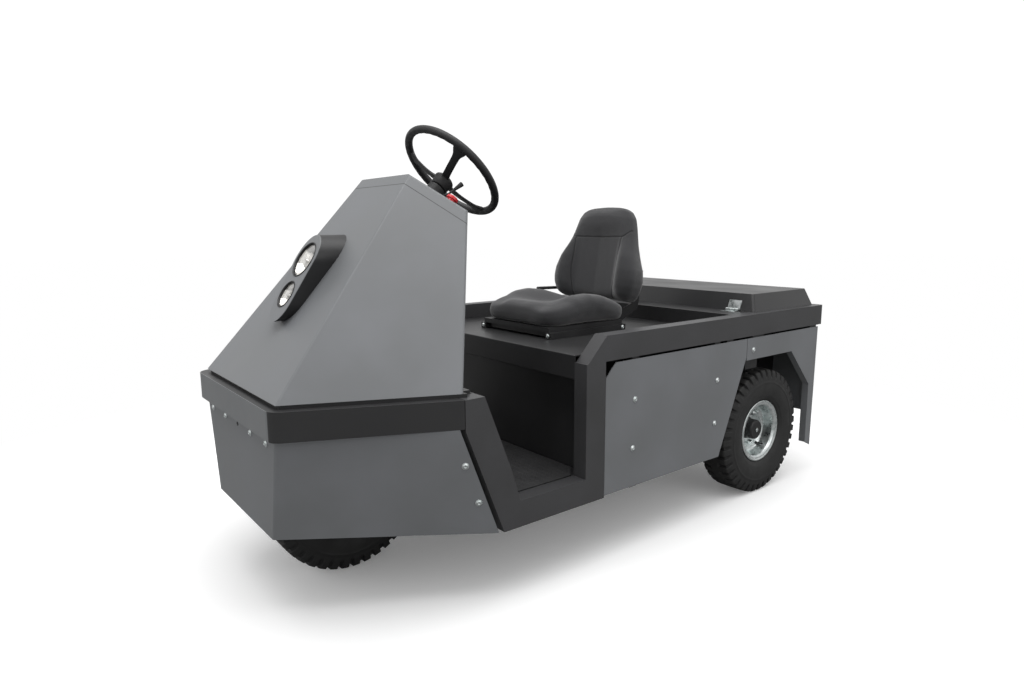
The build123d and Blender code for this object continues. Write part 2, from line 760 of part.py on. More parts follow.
# The flange is the arch moved outwards by the sheet, one corner at a time.
FLANGE_SHIFTS = ((0.33 * sheet, 0.8 * sheet), (0.8 * sheet, 0.33 * sheet), (0.8 * sheet, 0))
for side, sign in SIDES:
    with BuildPart() as fender:
        with BuildSketch(Plane.YZ.offset(panel_face - sheet if sign > 0 else -panel_face)):
            with BuildLine():
                Polyline(*FENDER_ARCH, *FENDER_BACK, close=True)
            make_face()
        extrude(amount=sheet)
        with BuildSketch(Plane.YZ.offset(panel_face - arch_flange if sign > 0 else -panel_face)):
            with BuildLine():
                outer = [(y + dy, z + dz) for (y, z), (dy, dz) in zip(FENDER_ARCH[1:], FLANGE_SHIFTS)]
                Polyline(*FENDER_ARCH[1:], *reversed(outer), close=True)
            make_face()
        extrude(amount=arch_flange)
    keep(fender, f"fender_{side}")

# === Rear panel with its lamps ====================================================
rear_panel_low = sill_bottom + 70
with BuildPart() as rear_panel:
    with BuildSketch(Plane.XZ.offset(-rear_panel_y)):
        with Locations((0, (rear_panel_low + rail_bottom) / 2)):
            Rectangle(2 * (panel_face - sheet), rail_bottom - rear_panel_low)
    extrude(amount=-sheet)
keep(rear_panel, "rear_panel")

lamp_x, lamp_z = half_width - 109, rail_bottom - 105
lamp_wide, lamp_tall, lamp_thick = 70, 150, 30
lamp_corner = 12
with BuildPart() as tail_lamps:
    with BuildSketch(Plane.XZ.offset(-(rear_panel_y + sheet))):
        with Locations((lamp_x, lamp_z), (-lamp_x, lamp_z)):
            RectangleRounded(lamp_wide, lamp_tall, lamp_corner)
    extrude(amount=-lamp_thick)
keep(tail_lamps, "tail_lamps")

# === Chassis: battery tray with its posts, and the rear subframe ===================
post_inner = inner_half + 14
post_outer = panel_face - sheet
post_length = 35
tie_half = 320
tie_width = 40
subframe_outer = half_width - 204
axle_top = wheel_radius + 60    # underside of the subframe plates
frame_top = rail_bottom - 5
outrigger_low = rail_bottom - 50
beam_front = rear_panel_y - 8
beam_low, beam_high = wheel_radius + 30, rail_bottom - 5
POST_FRONTS = (panel_front + 132, bulkhead - 62)
# Columns: front station, rear station, lowest height, highest height; right across.
CHASSIS_CROSS = (
    (doorway_front + sheet, doorway_front + 24, sill_bottom, floor_top - sheet),
    (doorway_back, doorway_back + 20, sill_bottom, floor_top - sheet),
    (doorway_back, bulkhead, tray_low, tray_low + plate),
)


def box_between(low_x, high_x, front, back, low_z, high_z, mode=Mode.ADD):
    """Plain bar between two planes each way."""
    with Locations(((low_x + high_x) / 2, (front + back) / 2, (low_z + high_z) / 2)):
        Box(high_x - low_x, back - front, high_z - low_z, mode=mode)


with BuildPart() as chassis_frame:
    for front, back, low_z, high_z in CHASSIS_CROSS:
        box_between(-inner_half, inner_half, front, back, low_z, high_z)
    for front in POST_FRONTS:
        box_between(-post_outer, post_outer, front, front + post_length, tray_low, tray_low + plate)
    for side, sign in SIDES:
        tie = sorted((sign * (tie_half - tie_width / 2), sign * (tie_half + tie_width / 2)))
        box_between(*tie, doorway_front + 24, doorway_back, sill_bottom + 10, sill_bottom + 60)
        post = sorted((sign * post_inner, sign * post_outer))
        for front in POST_FRONTS:
            box_between(*post, front, front + post_length, tray_low, rail_bottom)
keep(chassis_frame, "chassis_frame")

tab_front, tab_back = fender_front + 39, fender_front + 124
tab_top = rail_bottom - 41
tab_low = arch_top - 48         # the fender's bracket shows under the arch
tab_outer = half_width - 34
tab_thickness = 5
arm_length = 40
# Columns: front station, rear station, lowest height; arms from the subframe to the rails.
OUTRIGGERS = (
    (bulkhead + plate + 8, bulkhead + plate + 8 + arm_length, outrigger_low),
    (tab_front, tab_back, tab_top),
    (beam_front - arm_length, beam_front, outrigger_low),
)
with BuildPart() as rear_subframe:
    box_between(-inner_half, inner_half, bulkhead, bulkhead + plate, tray_low, frame_top)
    box_between(-subframe_outer, subframe_outer, beam_front, rear_panel_y, beam_low, beam_high)
    for side, sign in SIDES:
        web = sorted((sign * (subframe_outer - plate), sign * subframe_outer))
        box_between(*web, bulkhead, beam_front, axle_top, frame_top)
        arm = sorted((sign * subframe_outer, sign * post_outer))
        for front, back, low_z in OUTRIGGERS:
            box_between(*arm, front, back, low_z, rail_bottom)
        tab = sorted((sign * (tab_outer - tab_thickness), sign * tab_outer))
        box_between(*tab, tab_front, tab_back, tab_low, tab_top)
keep(rear_subframe, "rear_subframe")

# === Battery ======================================================================
battery_side_room = 164     # from the battery to the body's side
battery_front_room = 51     # behind the heel wall
battery_back_room = 22      # in front of the bulkhead
battery_headroom = 52       # under the seat deck
battery_half = half_width - battery_side_room
with BuildPart() as battery_pack:
    battery_top = deck_height - sheet - battery_headroom
    box_between(
        -battery_half, battery_half, heel_wall + battery_front_room, bulkhead - battery_back_room,
        tray_low + plate, battery_top,
    )
keep(battery_pack, "battery_pack")

# === Wheels =======================================================================
# Half section of a solid tyre: distance from its middle, radius; bead to shoulder.
TYRE_SIDE = (
    (51.7, 114.6), (51.7, 136), (72.5, 190), (66, 250),
)
tread_half = TYRE_SIDE[-1][0]
core_radius = TYRE_SIDE[-1][1]
groove_radius = wheel_radius - lug_depth


def axial_plane(x, y, sign):
    """Plane through a wheel axis: local x is the axle, outwards, and local y is the radius."""
    return Plane(origin=(x, y, wheel_radius), x_dir=(sign, 0, 0), z_dir=(0, -sign, 0))


def wheel_plane(x, y):
    """Plane across a wheel axis, seen along the axle."""
    return Plane(origin=(x, y, wheel_radius), x_dir=(0, 1, 0), z_dir=(1, 0, 0))


def wheel_axis(x, y):
    return Axis((x, y, wheel_radius), (1, 0, 0))


def lug_outline(phase):
    """Toothed outline of tread blocks round the wheel, turned by a share of the pitch."""
    corners = []
    for lug in range(lug_count):
        for share, radius in (
            (0, wheel_radius), (lug_share, wheel_radius), ((1 + lug_share) / 2, groove_radius),
        ):
            angle = radians((lug + share + phase) * 360 / lug_count)
            corners.append((radius * cos(angle), radius * sin(angle)))
    Polyline(*corners, close=True)


def build_tyre(node, x, y):
    """Solid tyre with two staggered rows of tread blocks, parted by a narrow groove."""
    with BuildPart() as tyre:
        with BuildSketch(axial_plane(x, y, 1)):
            with BuildLine():
                Polyline(
                    *[(-a, r) for a, r in TYRE_SIDE], *[(a, r) for a, r in reversed(TYRE_SIDE)],
                    close=True,
                )
            make_face()
        revolve(axis=wheel_axis(x, y))
        for start, phase in ((-tread_half, 0), (centre_groove / 2, 0.5)):
            with BuildSketch(wheel_plane(x + start, y)):
                with BuildLine():
                    lug_outline(phase)
                make_face()
                Circle(core_radius, mode=Mode.SUBTRACT)
            extrude(amount=tread_half - centre_groove / 2)
    keep(tyre, node)


rim_seat = rim_seat_diameter / 2
flange_radius = rim_flange_diameter / 2
flange_lip = 4
rim_wall = 5
disc_outer = -8             # outer face of the disc, from the middle of the rim
disc_inner = disc_outer - 8
pilot_radius = 46
vent_circle = 88
vent_radius = 9
vent_count = 5


def build_rim(node, x, y, sign):
    """Pressed rim with two flanges and a flat disc with round vents."""
    half = bead_width / 2
    well = rim_seat - rim_wall
    with BuildPart() as rim:
        with BuildSketch(axial_plane(x, y, sign)):
            with BuildLine():
                Polyline(
                    (-half - flange_lip, flange_radius), (-half, flange_radius), (-half, rim_seat),
                    (half, rim_seat), (half, flange_radius), (half + flange_lip, flange_radius),
                    (half + flange_lip, well), (disc_outer, well), (disc_outer, pilot_radius),
                    (disc_inner, pilot_radius), (disc_inner, well), (-half - flange_lip, well),
                    close=True,
                )
            make_face()
        revolve(axis=wheel_axis(x, y))
        with BuildSketch(wheel_plane(x + sign * (disc_inner + disc_outer) / 2, y)):
            with PolarLocations(vent_circle, vent_count, start_angle=18):
                Circle(vent_radius)
        extrude(amount=-disc_outer, both=True, mode=Mode.SUBTRACT)
    keep(rim, node)


hub_cap_radius = 43
hub_cap_out = 38            # outer face of the hub cap, from the middle of the rim
hub_cap_edge = 6
spindle_radius = 20
hub_inner = 62
hub_barrel = 58
hub_step = -28              # the barrel widens to the flange here
hub_flange_radius = 92


def build_hub(node, x, y, sign):
    """Hub with a flange against the disc, a pilot through it and a closed cap."""
    bore = spindle_radius + pin_gap
    pilot = pilot_radius - seat_gap
    with BuildPart() as hub:
        with BuildSketch(axial_plane(x, y, sign)):
            with BuildLine():
                Polyline(
                    (-hub_inner, bore), (-hub_inner, hub_barrel), (hub_step, hub_barrel),
                    (hub_step, hub_flange_radius), (disc_inner, hub_flange_radius),
                    (disc_inner, pilot), (disc_outer, pilot), (disc_outer, hub_cap_radius),
                    (hub_cap_out - hub_cap_edge, hub_cap_radius),
                    (hub_cap_out, hub_cap_radius - hub_cap_edge),
                    (hub_cap_out, 0), (disc_outer, 0), (disc_outer, bore), close=True,
                )
            make_face()
        revolve(axis=wheel_axis(x, y))
    keep(hub, node)


for side, sign in SIDES:
    build_tyre(f"rear_tyre_{side}", sign * rear_tyre_centre, rear_axle)
    build_rim(f"rear_rim_{side}", sign * rear_tyre_centre, rear_axle, sign)
    build_hub(f"rear_hub_{side}", sign * rear_tyre_centre, rear_axle, sign)

build_tyre("front_tyre", 0, front_axle)
build_rim("front_rim", 0, front_axle, 1)

# === Front hub and fork ===========================================================
fork_gap = 88               # inner faces of the fork legs, from the centre line
fork_leg = 16
front_pin = 15
pin_head = 10
front_barrel = 40
with BuildPart() as front_hub:
    with BuildSketch(axial_plane(0, front_axle, 1)):
        with BuildLine():
            bore, end = front_pin + pin_gap, fork_gap - run_gap
            Polyline(
                (-end, bore), (-end, front_barrel), (hub_step, front_barrel),
                (hub_step, hub_flange_radius), (disc_inner, hub_flange_radius),
                (disc_inner, pilot_radius - seat_gap), (disc_outer, pilot_radius - seat_gap),
                (disc_outer, front_barrel), (end, front_barrel), (end, bore), close=True,
            )
        make_face()
    revolve(axis=wheel_axis(0, front_axle))
keep(front_hub, "front_hub")

crown_low = wheel_radius + 285
crown_top = crown_low + 20
crown_length = 140
leg_top_half, leg_foot_half = 48, 34
leg_foot_drop = 40          # below the axle
kingpin_nut = 38
kingpin_nut_height = 18
with BuildPart() as front_fork:
    for side, sign in SIDES:
        with BuildSketch(Plane.YZ.offset(fork_gap if sign > 0 else -fork_gap - fork_leg)):
            with BuildLine():
                foot = wheel_radius - leg_foot_drop
                Polyline(
                    (front_axle - leg_top_half, crown_top), (front_axle - leg_foot_half, wheel_radius),
                    (front_axle - leg_foot_half, foot), (front_axle + leg_foot_half, foot),
                    (front_axle + leg_foot_half, wheel_radius),
                    (front_axle + leg_top_half, crown_top), close=True,
                )
            make_face()
        extrude(amount=fork_leg)
    with BuildSketch(Plane.XY.offset(crown_low)):
        with Locations((0, front_axle)):
            Rectangle(2 * (fork_gap + fork_leg), crown_length)
    extrude(amount=crown_top - crown_low)
    with BuildSketch(Plane.XY.offset(crown_top)):
        with Locations((0, front_axle)):
            Circle(bearing_radius)
    extrude(amount=bearing_bottom - seat_gap - crown_top)
    with BuildSketch(Plane.XY.offset(crown_top)):
        with Locations((0, front_axle)):
            Circle(kingpin_radius)
    extrude(amount=cowl_base + kingpin_nut_height - crown_top)
    with BuildSketch(Plane.XY.offset(cowl_base + seat_gap)):
        with Locations((0, front_axle)):
            RegularPolygon(kingpin_nut, 6)
    extrude(amount=kingpin_nut_height)
    with BuildSketch(Plane.YZ.offset(-fork_gap - fork_leg - pin_head)):
        with Locations((front_axle, wheel_radius)):
            Circle(front_pin)
    extrude(amount=2 * (fork_gap + fork_leg + pin_head))
keep(front_fork, "front_fork")

# === Rear axle: tube, spindles, spring pads and the drive unit ====================
axle_radius = 45
axle_end = rear_tyre_centre - hub_inner - run_gap
spindle_end = rear_tyre_centre + disc_outer - 6
pad_width, pad_length = 60, 150
gear_radius, gear_width = 112, 140
motor_radius, motor_length = 92, 210
motor_back = rear_axle + 90
motor_lift = 14             # motor's axis above the axle
with BuildPart() as drive_axle:
    for radius, end in ((axle_radius, axle_end), (spindle_radius, spindle_end),
                        (gear_radius, gear_width / 2)):
        with BuildSketch(Plane.YZ):
            with Locations((rear_axle, wheel_radius)):
                Circle(radius)
        extrude(amount=end, both=True)
    for side, sign in SIDES:
        pad = sorted((sign * (subframe_outer - pad_width), sign * subframe_outer))
        box_between(
            *pad, rear_axle - pad_length / 2, rear_axle + pad_length / 2, wheel_radius, axle_top,
        )
    with BuildSketch(Plane.XZ.offset(-motor_back)):
        with Locations((0, wheel_radius + motor_lift)):
            Circle(motor_radius)
    extrude(amount=motor_length + motor_back - rear_axle)
keep(drive_axle, "drive_axle")

# === Tow jaw with three heights, and its pin ======================================
jaw_back = rear_panel_y + sheet
jaw_half = 60
jaw_base_half = jaw_half + 20
jaw_base = 12
jaw_plate = 14
jaw_round = 32
jaw_tip = nose + overall_length
tow_pin_radius = 13
tow_pin_y = jaw_tip - jaw_round
# Heights of the four tongues; a drawbar eye goes between any two.
JAW_HEIGHTS = (290, 350, 410, 470)
base_low, base_high = JAW_HEIGHTS[0] - 26, JAW_HEIGHTS[-1] + 130
bolt_wide, bolt_tall = 84, 60
bolt_hole = 6.5
bolt_middle = JAW_HEIGHTS[-1] + 75
with BuildPart() as tow_jaw:
    box_between(-jaw_base_half, jaw_base_half, jaw_back, jaw_back + jaw_base, base_low, base_high)
    for height in JAW_HEIGHTS:
        with BuildSketch(Plane.XY.offset(height - jaw_plate / 2)):
            with Locations((0, tow_pin_y)):
                Circle(jaw_round)
            with BuildLine():
                Polyline(
                    (-jaw_half, jaw_back), (jaw_half, jaw_back),
                    (jaw_round, tow_pin_y), (-jaw_round, tow_pin_y), close=True,
                )
            make_face()
        extrude(amount=jaw_plate)
    with BuildSketch(Plane.XY.offset(JAW_HEIGHTS[0] - jaw_plate)):
        with Locations((0, tow_pin_y)):
            Circle(tow_pin_radius + pin_gap)
    extrude(amount=JAW_HEIGHTS[-1] - JAW_HEIGHTS[0] + 2 * jaw_plate, mode=Mode.SUBTRACT)
    with BuildSketch(Plane.XZ.offset(-jaw_back)):
        with Locations((0, bolt_middle)):
            with GridLocations(bolt_wide, bolt_tall, 2, 2):
                Circle(bolt_hole)
    extrude(amount=-jaw_base, mode=Mode.SUBTRACT)
keep(tow_jaw, "tow_jaw")

pin_below = 22
pin_collar, collar_height = 19, 8
pin_stem, stem_height = 8, 32
grip_radius, grip_half = 7, 30
jaw_face = JAW_HEIGHTS[-1] + jaw_plate / 2 + seat_gap
# Columns: radius, lowest height, highest height.
PIN_STEPS = (
    (tow_pin_radius, JAW_HEIGHTS[0] - pin_below, jaw_face),
    (pin_collar, jaw_face, jaw_face + collar_height),
    (pin_stem, jaw_face + collar_height, jaw_face + collar_height + stem_height),
)
with BuildPart() as tow_pin:
    for radius, low, high in PIN_STEPS:
        with BuildSketch(Plane.XY.offset(low)):
            with Locations((0, tow_pin_y)):
                Circle(radius)
        extrude(amount=high - low)
    with BuildSketch(Plane.YZ):
        with Locations((tow_pin_y, jaw_face + collar_height + stem_height)):
            Circle(grip_radius)
    extrude(amount=grip_half, both=True)
keep(tow_pin, "tow_pin")

# === Seat =========================================================================
seat_depth = 450
cushion_half = 222
cushion_bottom = deck_height + 43
cushion_height = 111
cushion_corner = 70
hollow_radius, hollow_depth = 400, 30   # the trough between the side bolsters
slide_height = 25
slide_length = seat_depth - 40
slide_x = 205
slide_wide = 30
bracket_x = 150
bracket_thickness = 8
cross_bar = 36
seat_rear = seat_front + seat_depth
# Columns: distance behind the cushion, height over the deck.
BACK_BRACKET = (
    (-110, 27), (10, 27), (110, 72), (140, 232), (99, 232), (76, 98), (6, 72), (2, 42), (-110, 42),
)
with BuildPart() as seat_base:
    slide_front = seat_front + 3
    for side, sign in SIDES:
        slide = sorted((sign * (slide_x - slide_wide / 2), sign * (slide_x + slide_wide / 2)))
        box_between(
            *slide, slide_front, slide_front + slide_length, deck_height, deck_height + slide_height,
        )
        with BuildSketch(Plane.YZ.offset(sign * bracket_x - bracket_thickness / 2)):
            with BuildLine():
                Polyline(*[(seat_rear + y, deck_height + z) for y, z in BACK_BRACKET], close=True)
            make_face()
        extrude(amount=bracket_thickness)
    for cross_y in (seat_front + 22, seat_rear - 98):
        box_between(
            -slide_x, slide_x, cross_y, cross_y + cross_bar,
            deck_height + 6, deck_height + slide_height,
        )
    box_between(
        -slide_x, slide_x, slide_front + 5, slide_front + slide_length - 5,
        deck_height + slide_height, cushion_bottom - seat_gap,
    )
keep(seat_base, "seat_base")

# Side view of the cushion; columns: distance behind its front, height over its underside.
CUSHION_SIDE = (
    (0, 12), (0, 66), (40, 94), (120, cushion_height), (seat_depth - 50, cushion_height),
    (seat_depth - 22, 74), (seat_depth, 74), (seat_depth, 0), (12, 0),
)
with BuildPart() as seat_cushion:
    with BuildSketch(Plane.XY.offset(cushion_bottom)):
        with Locations((0, seat_front + seat_depth / 2)):
            RectangleRounded(2 * cushion_half, seat_depth, cushion_corner)
    extrude(amount=cushion_height)
    with BuildSketch(Plane.YZ):
        with BuildLine():
            Polyline(*[(seat_front + y, cushion_bottom + z) for y, z in CUSHION_SIDE], close=True)
        make_face()
    extrude(amount=cushion_half, both=True, mode=Mode.INTERSECT)
    with BuildSketch(Plane.XZ.offset(-seat_front)):
        with Locations((0, cushion_bottom + cushion_height + hollow_radius - hollow_depth)):
            Circle(hollow_radius)
    extrude(amount=-seat_depth, mode=Mode.SUBTRACT)
keep(seat_cushion, "seat_cushion")

seat_lean = 10.2
back_thick = 95
back_rise = 397
taper_start = 130           # up the backrest, where it begins to thin
back_taper = 6.4
back_hollow_radius, back_hollow_depth = 330, 24
back_foot = Vector(0, seat_rear - 18, deck_height + 122)
back_front = Vector(0, -cos(radians(seat_lean)), sin(radians(seat_lean)))
back_up = Vector(0, sin(radians(seat_lean)), cos(radians(seat_lean)))
# Columns: half-width, distance up the backrest.
BACK_EDGE = ((198, 0), (230, 82), (206, 175), (182, 262), (156, 345), (92, 391), (0, back_rise))
with BuildPart() as seat_back:
    with BuildSketch(Plane(origin=back_foot, x_dir=(1, 0, 0), z_dir=back_front)):
        with BuildLine():
            Spline(*BACK_EDGE)
            Line(BACK_EDGE[-1], (0, 0))
            Line((0, 0), BACK_EDGE[0])
        make_face()
        mirror(about=Plane.YZ)
    extrude(amount=-back_thick)
    rear_point = back_foot + back_up * taper_start - back_front * back_thick
    tilt = radians(back_taper)
    rear_normal = back_up * sin(tilt) - back_front * cos(tilt)
    split(bisect_by=Plane(origin=rear_point, z_dir=rear_normal), keep=Keep.BOTTOM)
    with BuildSketch(Plane(origin=back_foot, x_dir=(1, 0, 0), z_dir=back_up)):
        with Locations((0, back_hollow_depth - back_hollow_radius)):
            Circle(back_hollow_radius)
    extrude(amount=2 * back_rise, both=True, mode=Mode.SUBTRACT)
keep(seat_back, "seat_back")

lever_x = -240
lever_thick = 7
lever_turn = 16
# Columns: sideways, behind the cushion, over the deck.
RECLINE_ROUTE = (
    (lever_x, -120, 146), (lever_x, 108, 140),
    (-bracket_x - bracket_thickness / 2 - seat_gap, 108, 140),
)
with BuildPart() as recline_lever:
    with BuildLine():
        recline_wire = FilletPolyline(
            *[(x, seat_rear + y, deck_height + z) for x, y, z in RECLINE_ROUTE], radius=lever_turn
        )
    with BuildSketch(Plane(origin=recline_wire @ 0, z_dir=recline_wire % 0)):
        RegularPolygon(lever_thick, 6)
    sweep()
keep(recline_lever, "recline_lever")
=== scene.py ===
import json
import bpy
import numpy as np
from mathutils import Matrix, Vector


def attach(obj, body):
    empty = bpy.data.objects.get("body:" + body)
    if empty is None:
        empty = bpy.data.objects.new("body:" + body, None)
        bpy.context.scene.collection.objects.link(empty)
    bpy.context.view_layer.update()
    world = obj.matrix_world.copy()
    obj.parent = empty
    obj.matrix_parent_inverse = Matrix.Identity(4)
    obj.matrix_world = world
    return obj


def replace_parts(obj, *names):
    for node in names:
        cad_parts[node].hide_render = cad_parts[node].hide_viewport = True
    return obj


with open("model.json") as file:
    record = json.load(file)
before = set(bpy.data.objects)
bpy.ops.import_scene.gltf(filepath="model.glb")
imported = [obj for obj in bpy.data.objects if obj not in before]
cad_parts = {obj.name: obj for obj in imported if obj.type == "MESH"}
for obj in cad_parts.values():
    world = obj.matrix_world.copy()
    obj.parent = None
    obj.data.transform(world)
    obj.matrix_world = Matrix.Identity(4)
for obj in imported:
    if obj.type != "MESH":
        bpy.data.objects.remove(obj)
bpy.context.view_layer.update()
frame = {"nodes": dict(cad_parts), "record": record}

MM = 0.001
NOSE = -1250 * MM


def at(x, station, z):
    """A point in metres from millimetres: sideways, behind the nose, height."""
    return np.array([x * MM, NOSE + station * MM, z * MM])


# ---------------------------------------------------------------- meshes
def mesh_object(name, points, faces, material, body):
    """One smooth object from arrays of points and faces in metres, riding on a CAD body."""
    mesh = bpy.data.meshes.new(name)
    mesh.from_pydata(np.asarray(points).reshape(-1, 3).tolist(), [], faces.tolist())
    mesh.polygons.foreach_set("use_smooth", np.full(len(mesh.polygons), True))
    mesh.materials.append(material)
    made = bpy.data.objects.new(name, mesh)
    bpy.context.scene.collection.objects.link(made)
    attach(made, body)
    return made


def grid_faces(rows, columns, close_rows=False, close_columns=False, flip=False):
    """Quads between the neighbours of a grid of points. Its rows or columns join up into a
    ring where they are closed, and flip turns the quads to face the other way."""
    i = np.arange(rows if close_rows else rows - 1)
    j = np.arange(columns if close_columns else columns - 1)
    i, j = np.meshgrid(i, j, indexing="ij")
    down, across = (i + 1) % rows, (j + 1) % columns
    quads = np.stack([i * columns + j, down * columns + j, down * columns + across,
                      i * columns + across], -1).reshape(-1, 4)
    return quads[:, ::-1] if flip else quads


def across_axis(axis):
    """The axis as a unit vector, and two more square to it and to each other."""
    axis = np.asarray(axis, float) / np.linalg.norm(axis)
    helper = np.array([0.0, 0, 1]) if abs(axis[2]) < 0.9 else np.array([1.0, 0, 0])
    first = np.cross(helper, axis)
    first /= np.linalg.norm(first)
    return axis, first, np.cross(axis, first)


def studs(name, profile, centres, axes, material, body, segments=20):
    """The same surface of revolution at several places, each along its own axis: each
    profile pair is a distance along the axis and a radius, in metres, and the point is the
    centre plus that distance along the axis plus the radius square to it, turned round."""
    along, radius = np.asarray(profile, float).T
    turn = np.linspace(0, 2 * np.pi, segments, endpoint=False)[:, None]
    parts = []
    for centre, axis in zip(centres, axes):
        axis, first, second = across_axis(axis)
        ring = np.cos(turn)[..., None] * first + np.sin(turn)[..., None] * second
        parts.append(np.asarray(centre) + along[None, :, None] * axis + radius[None, :, None] * ring)
    points = np.concatenate([part.reshape(-1, 3) for part in parts])
    one = grid_faces(segments, len(along), close_rows=True)
    faces = np.concatenate([one + segments * len(along) * k for k in range(len(parts))])
    return mesh_object(name, points, faces, material, body)


def revolved(name, profile, centre, axis, material, body, segments=96):
    """One surface of revolution, as in studs."""
    return studs(name, profile, [centre], [axis], material, body, segments)


def smoothstep(low, high, value):
    """0 below low, 1 above high and a smooth rise between."""
    share = np.clip((value - low) / (high - low), 0, 1)
    return share * share * (3 - 2 * share)


def power_curve(turn, power):
    """A superellipse's two coordinates: cosine and sine, each raised to a power, sign kept."""
    wave = np.stack([np.cos(turn), np.sin(turn)])
    return np.sign(wave) * np.abs(wave) ** power


def facing(x, y, z):
    """Unit vector along x, y, z."""
    return np.array([x, y, z]) / np.linalg.norm([x, y, z])


# ---------------------------------------------------------------- materials
def colour(code):
    """An sRGB hex code as linear RGBA."""
    value = np.array([int(code[k:k + 2], 16) / 255 for k in (0, 2, 4)])
    linear = np.where(value <= 0.04045, value / 12.92, ((value + 0.055) / 1.055) ** 2.4)
    return (*linear.tolist(), 1.0)


def add(tree, kind, settings=(), links=()):
    """Add one shader node, give it its settings and link its inputs."""
    made = tree.nodes.new(kind)
    for name, value in dict(settings).items():
        if name in made.inputs:
            made.inputs[name].default_value = value
        else:
            setattr(made, name, value)
    for name, source in dict(links).items():
        tree.links.new(source, made.inputs[name])
    return made


def start(name, base, roughness, **shader_settings):
    """A new material: its node tree, its shader and the object coordinates in metres."""
    made = bpy.data.materials.new(name)
    made.use_nodes = True
    tree = made.node_tree
    tree.nodes.clear()
    settings = {"Base Color": colour(base), "Roughness": roughness, **shader_settings}
    shader = add(tree, "ShaderNodeBsdfPrincipled", settings)
    add(tree, "ShaderNodeOutputMaterial", links={"Surface": shader.outputs["BSDF"]})
    where = add(tree, "ShaderNodeTexCoord").outputs["Object"]
    return made, tree, shader, where


def noise(tree, where, size_mm, detail=2.0, rough=0.5):
    """Smooth noise whose features are about size_mm across."""
    settings = {"Scale": 1 / (size_mm * MM), "Detail": detail, "Roughness": rough}
    return add(tree, "ShaderNodeTexNoise", settings, {"Vector": where}).outputs["Fac"]


def bump(tree, height, depth_mm, strength=1.0, under=None):
    """Bump from a height between 0 and 1 that stands for depth_mm, over another bump."""
    links = {"Height": height}
    if under is not None:
        links["Normal"] = under
    settings = {"Distance": depth_mm * MM, "Strength": strength}
    return add(tree, "ShaderNodeBump", settings, links).outputs["Normal"]


def ramp(tree, value, low, high, first, last):
    """Map a value between low and high to a number between first and last."""
    settings = {"From Min": low, "From Max": high, "To Min": first, "To Max": last}
    return add(tree, "ShaderNodeMapRange", settings, {"Value": value}).outputs["Result"]


# Where the colour Mix node keeps its share, its two colours and its result.
MIX_SHARE, MIX_FIRST, MIX_SECOND, MIX_RESULT = 0, 6, 7, 2


def tint(tree, share, first, second):
    """Colour that goes from first to second with share; each is a hex code or a socket."""
    made = add(tree, "ShaderNodeMix", {"data_type": "RGBA"})
    for place, source in ((MIX_FIRST, first), (MIX_SECOND, second)):
        if isinstance(source, str):
            made.inputs[place].default_value = colour(source)
        else:
            tree.links.new(source, made.inputs[place])
    tree.links.new(share, made.inputs[MIX_SHARE])
    return made.outputs[MIX_RESULT]


def times(tree, first, second):
    """Product of two values."""
    made = add(tree, "ShaderNodeMath", {"operation": "MULTIPLY"}, {0: first, 1: second})
    return made.outputs[0]


def finish_shader(tree, shader, **links):
    """Link sockets of the shader by name, with underscores for spaces."""
    for name, source in links.items():
        tree.links.new(source, shader.inputs[name.replace("_", " ")])


def coated(name, dark, light, roughness, mottle_mm, grain_mm, depth_mm, ior=1.5, spread=0.06):
    """A solid coat: slow changes of colour and gloss over mottle_mm, and a grain of grain_mm
    that is depth_mm deep. The roughness goes up and down by spread."""
    made, tree, shader, where = start(name, light, roughness, IOR=ior)
    slow = noise(tree, where, mottle_mm, 3)
    fine = noise(tree, where, grain_mm, 2)
    finish_shader(
        tree, shader,
        Base_Color=tint(tree, ramp(tree, slow, 0.35, 0.65, 0, 1), dark, light),
        Roughness=ramp(tree, slow, 0.3, 0.7, roughness - spread, roughness + spread),
        Normal=bump(tree, fine, depth_mm),
    )
    return made


# Polyester powder coat on folded steel: faint orange peel, satin.
grey_coat = coated("grey_powder_coat", "6f7173", "75777a", 0.42, 260, 1.1, 0.022)
dark_coat = coated("dark_powder_coat", "262627", "2b2b2c", 0.38, 220, 1.1, 0.03)
# The same dark coat, paler, for the rails and the step's frames: painted light, for the light these parts
# catch.
lit_dark_coat = coated("dark_powder_coat_painted_lighter", "3b3b3c", "404042", 0.42, 220, 1.1, 0.03)
# The dark coat, deeper, on the lamp pod: painted shade for the shadow it sits in.
shaded_pod_coat = coated("dark_powder_coat_pod_painted_shade", "1e1e1f", "222223", 0.4, 220, 1.1, 0.03)

# Where the joint between the cowl and its cap starts and ends, seen from the side.
SEAM_FRONT, SEAM_BACK = at(0, 525.3, 1283.4), at(0, 672.7, 1151.2)
SEAM_DARK_MM, SEAM_CLEAR_MM = 0.8, 1.6


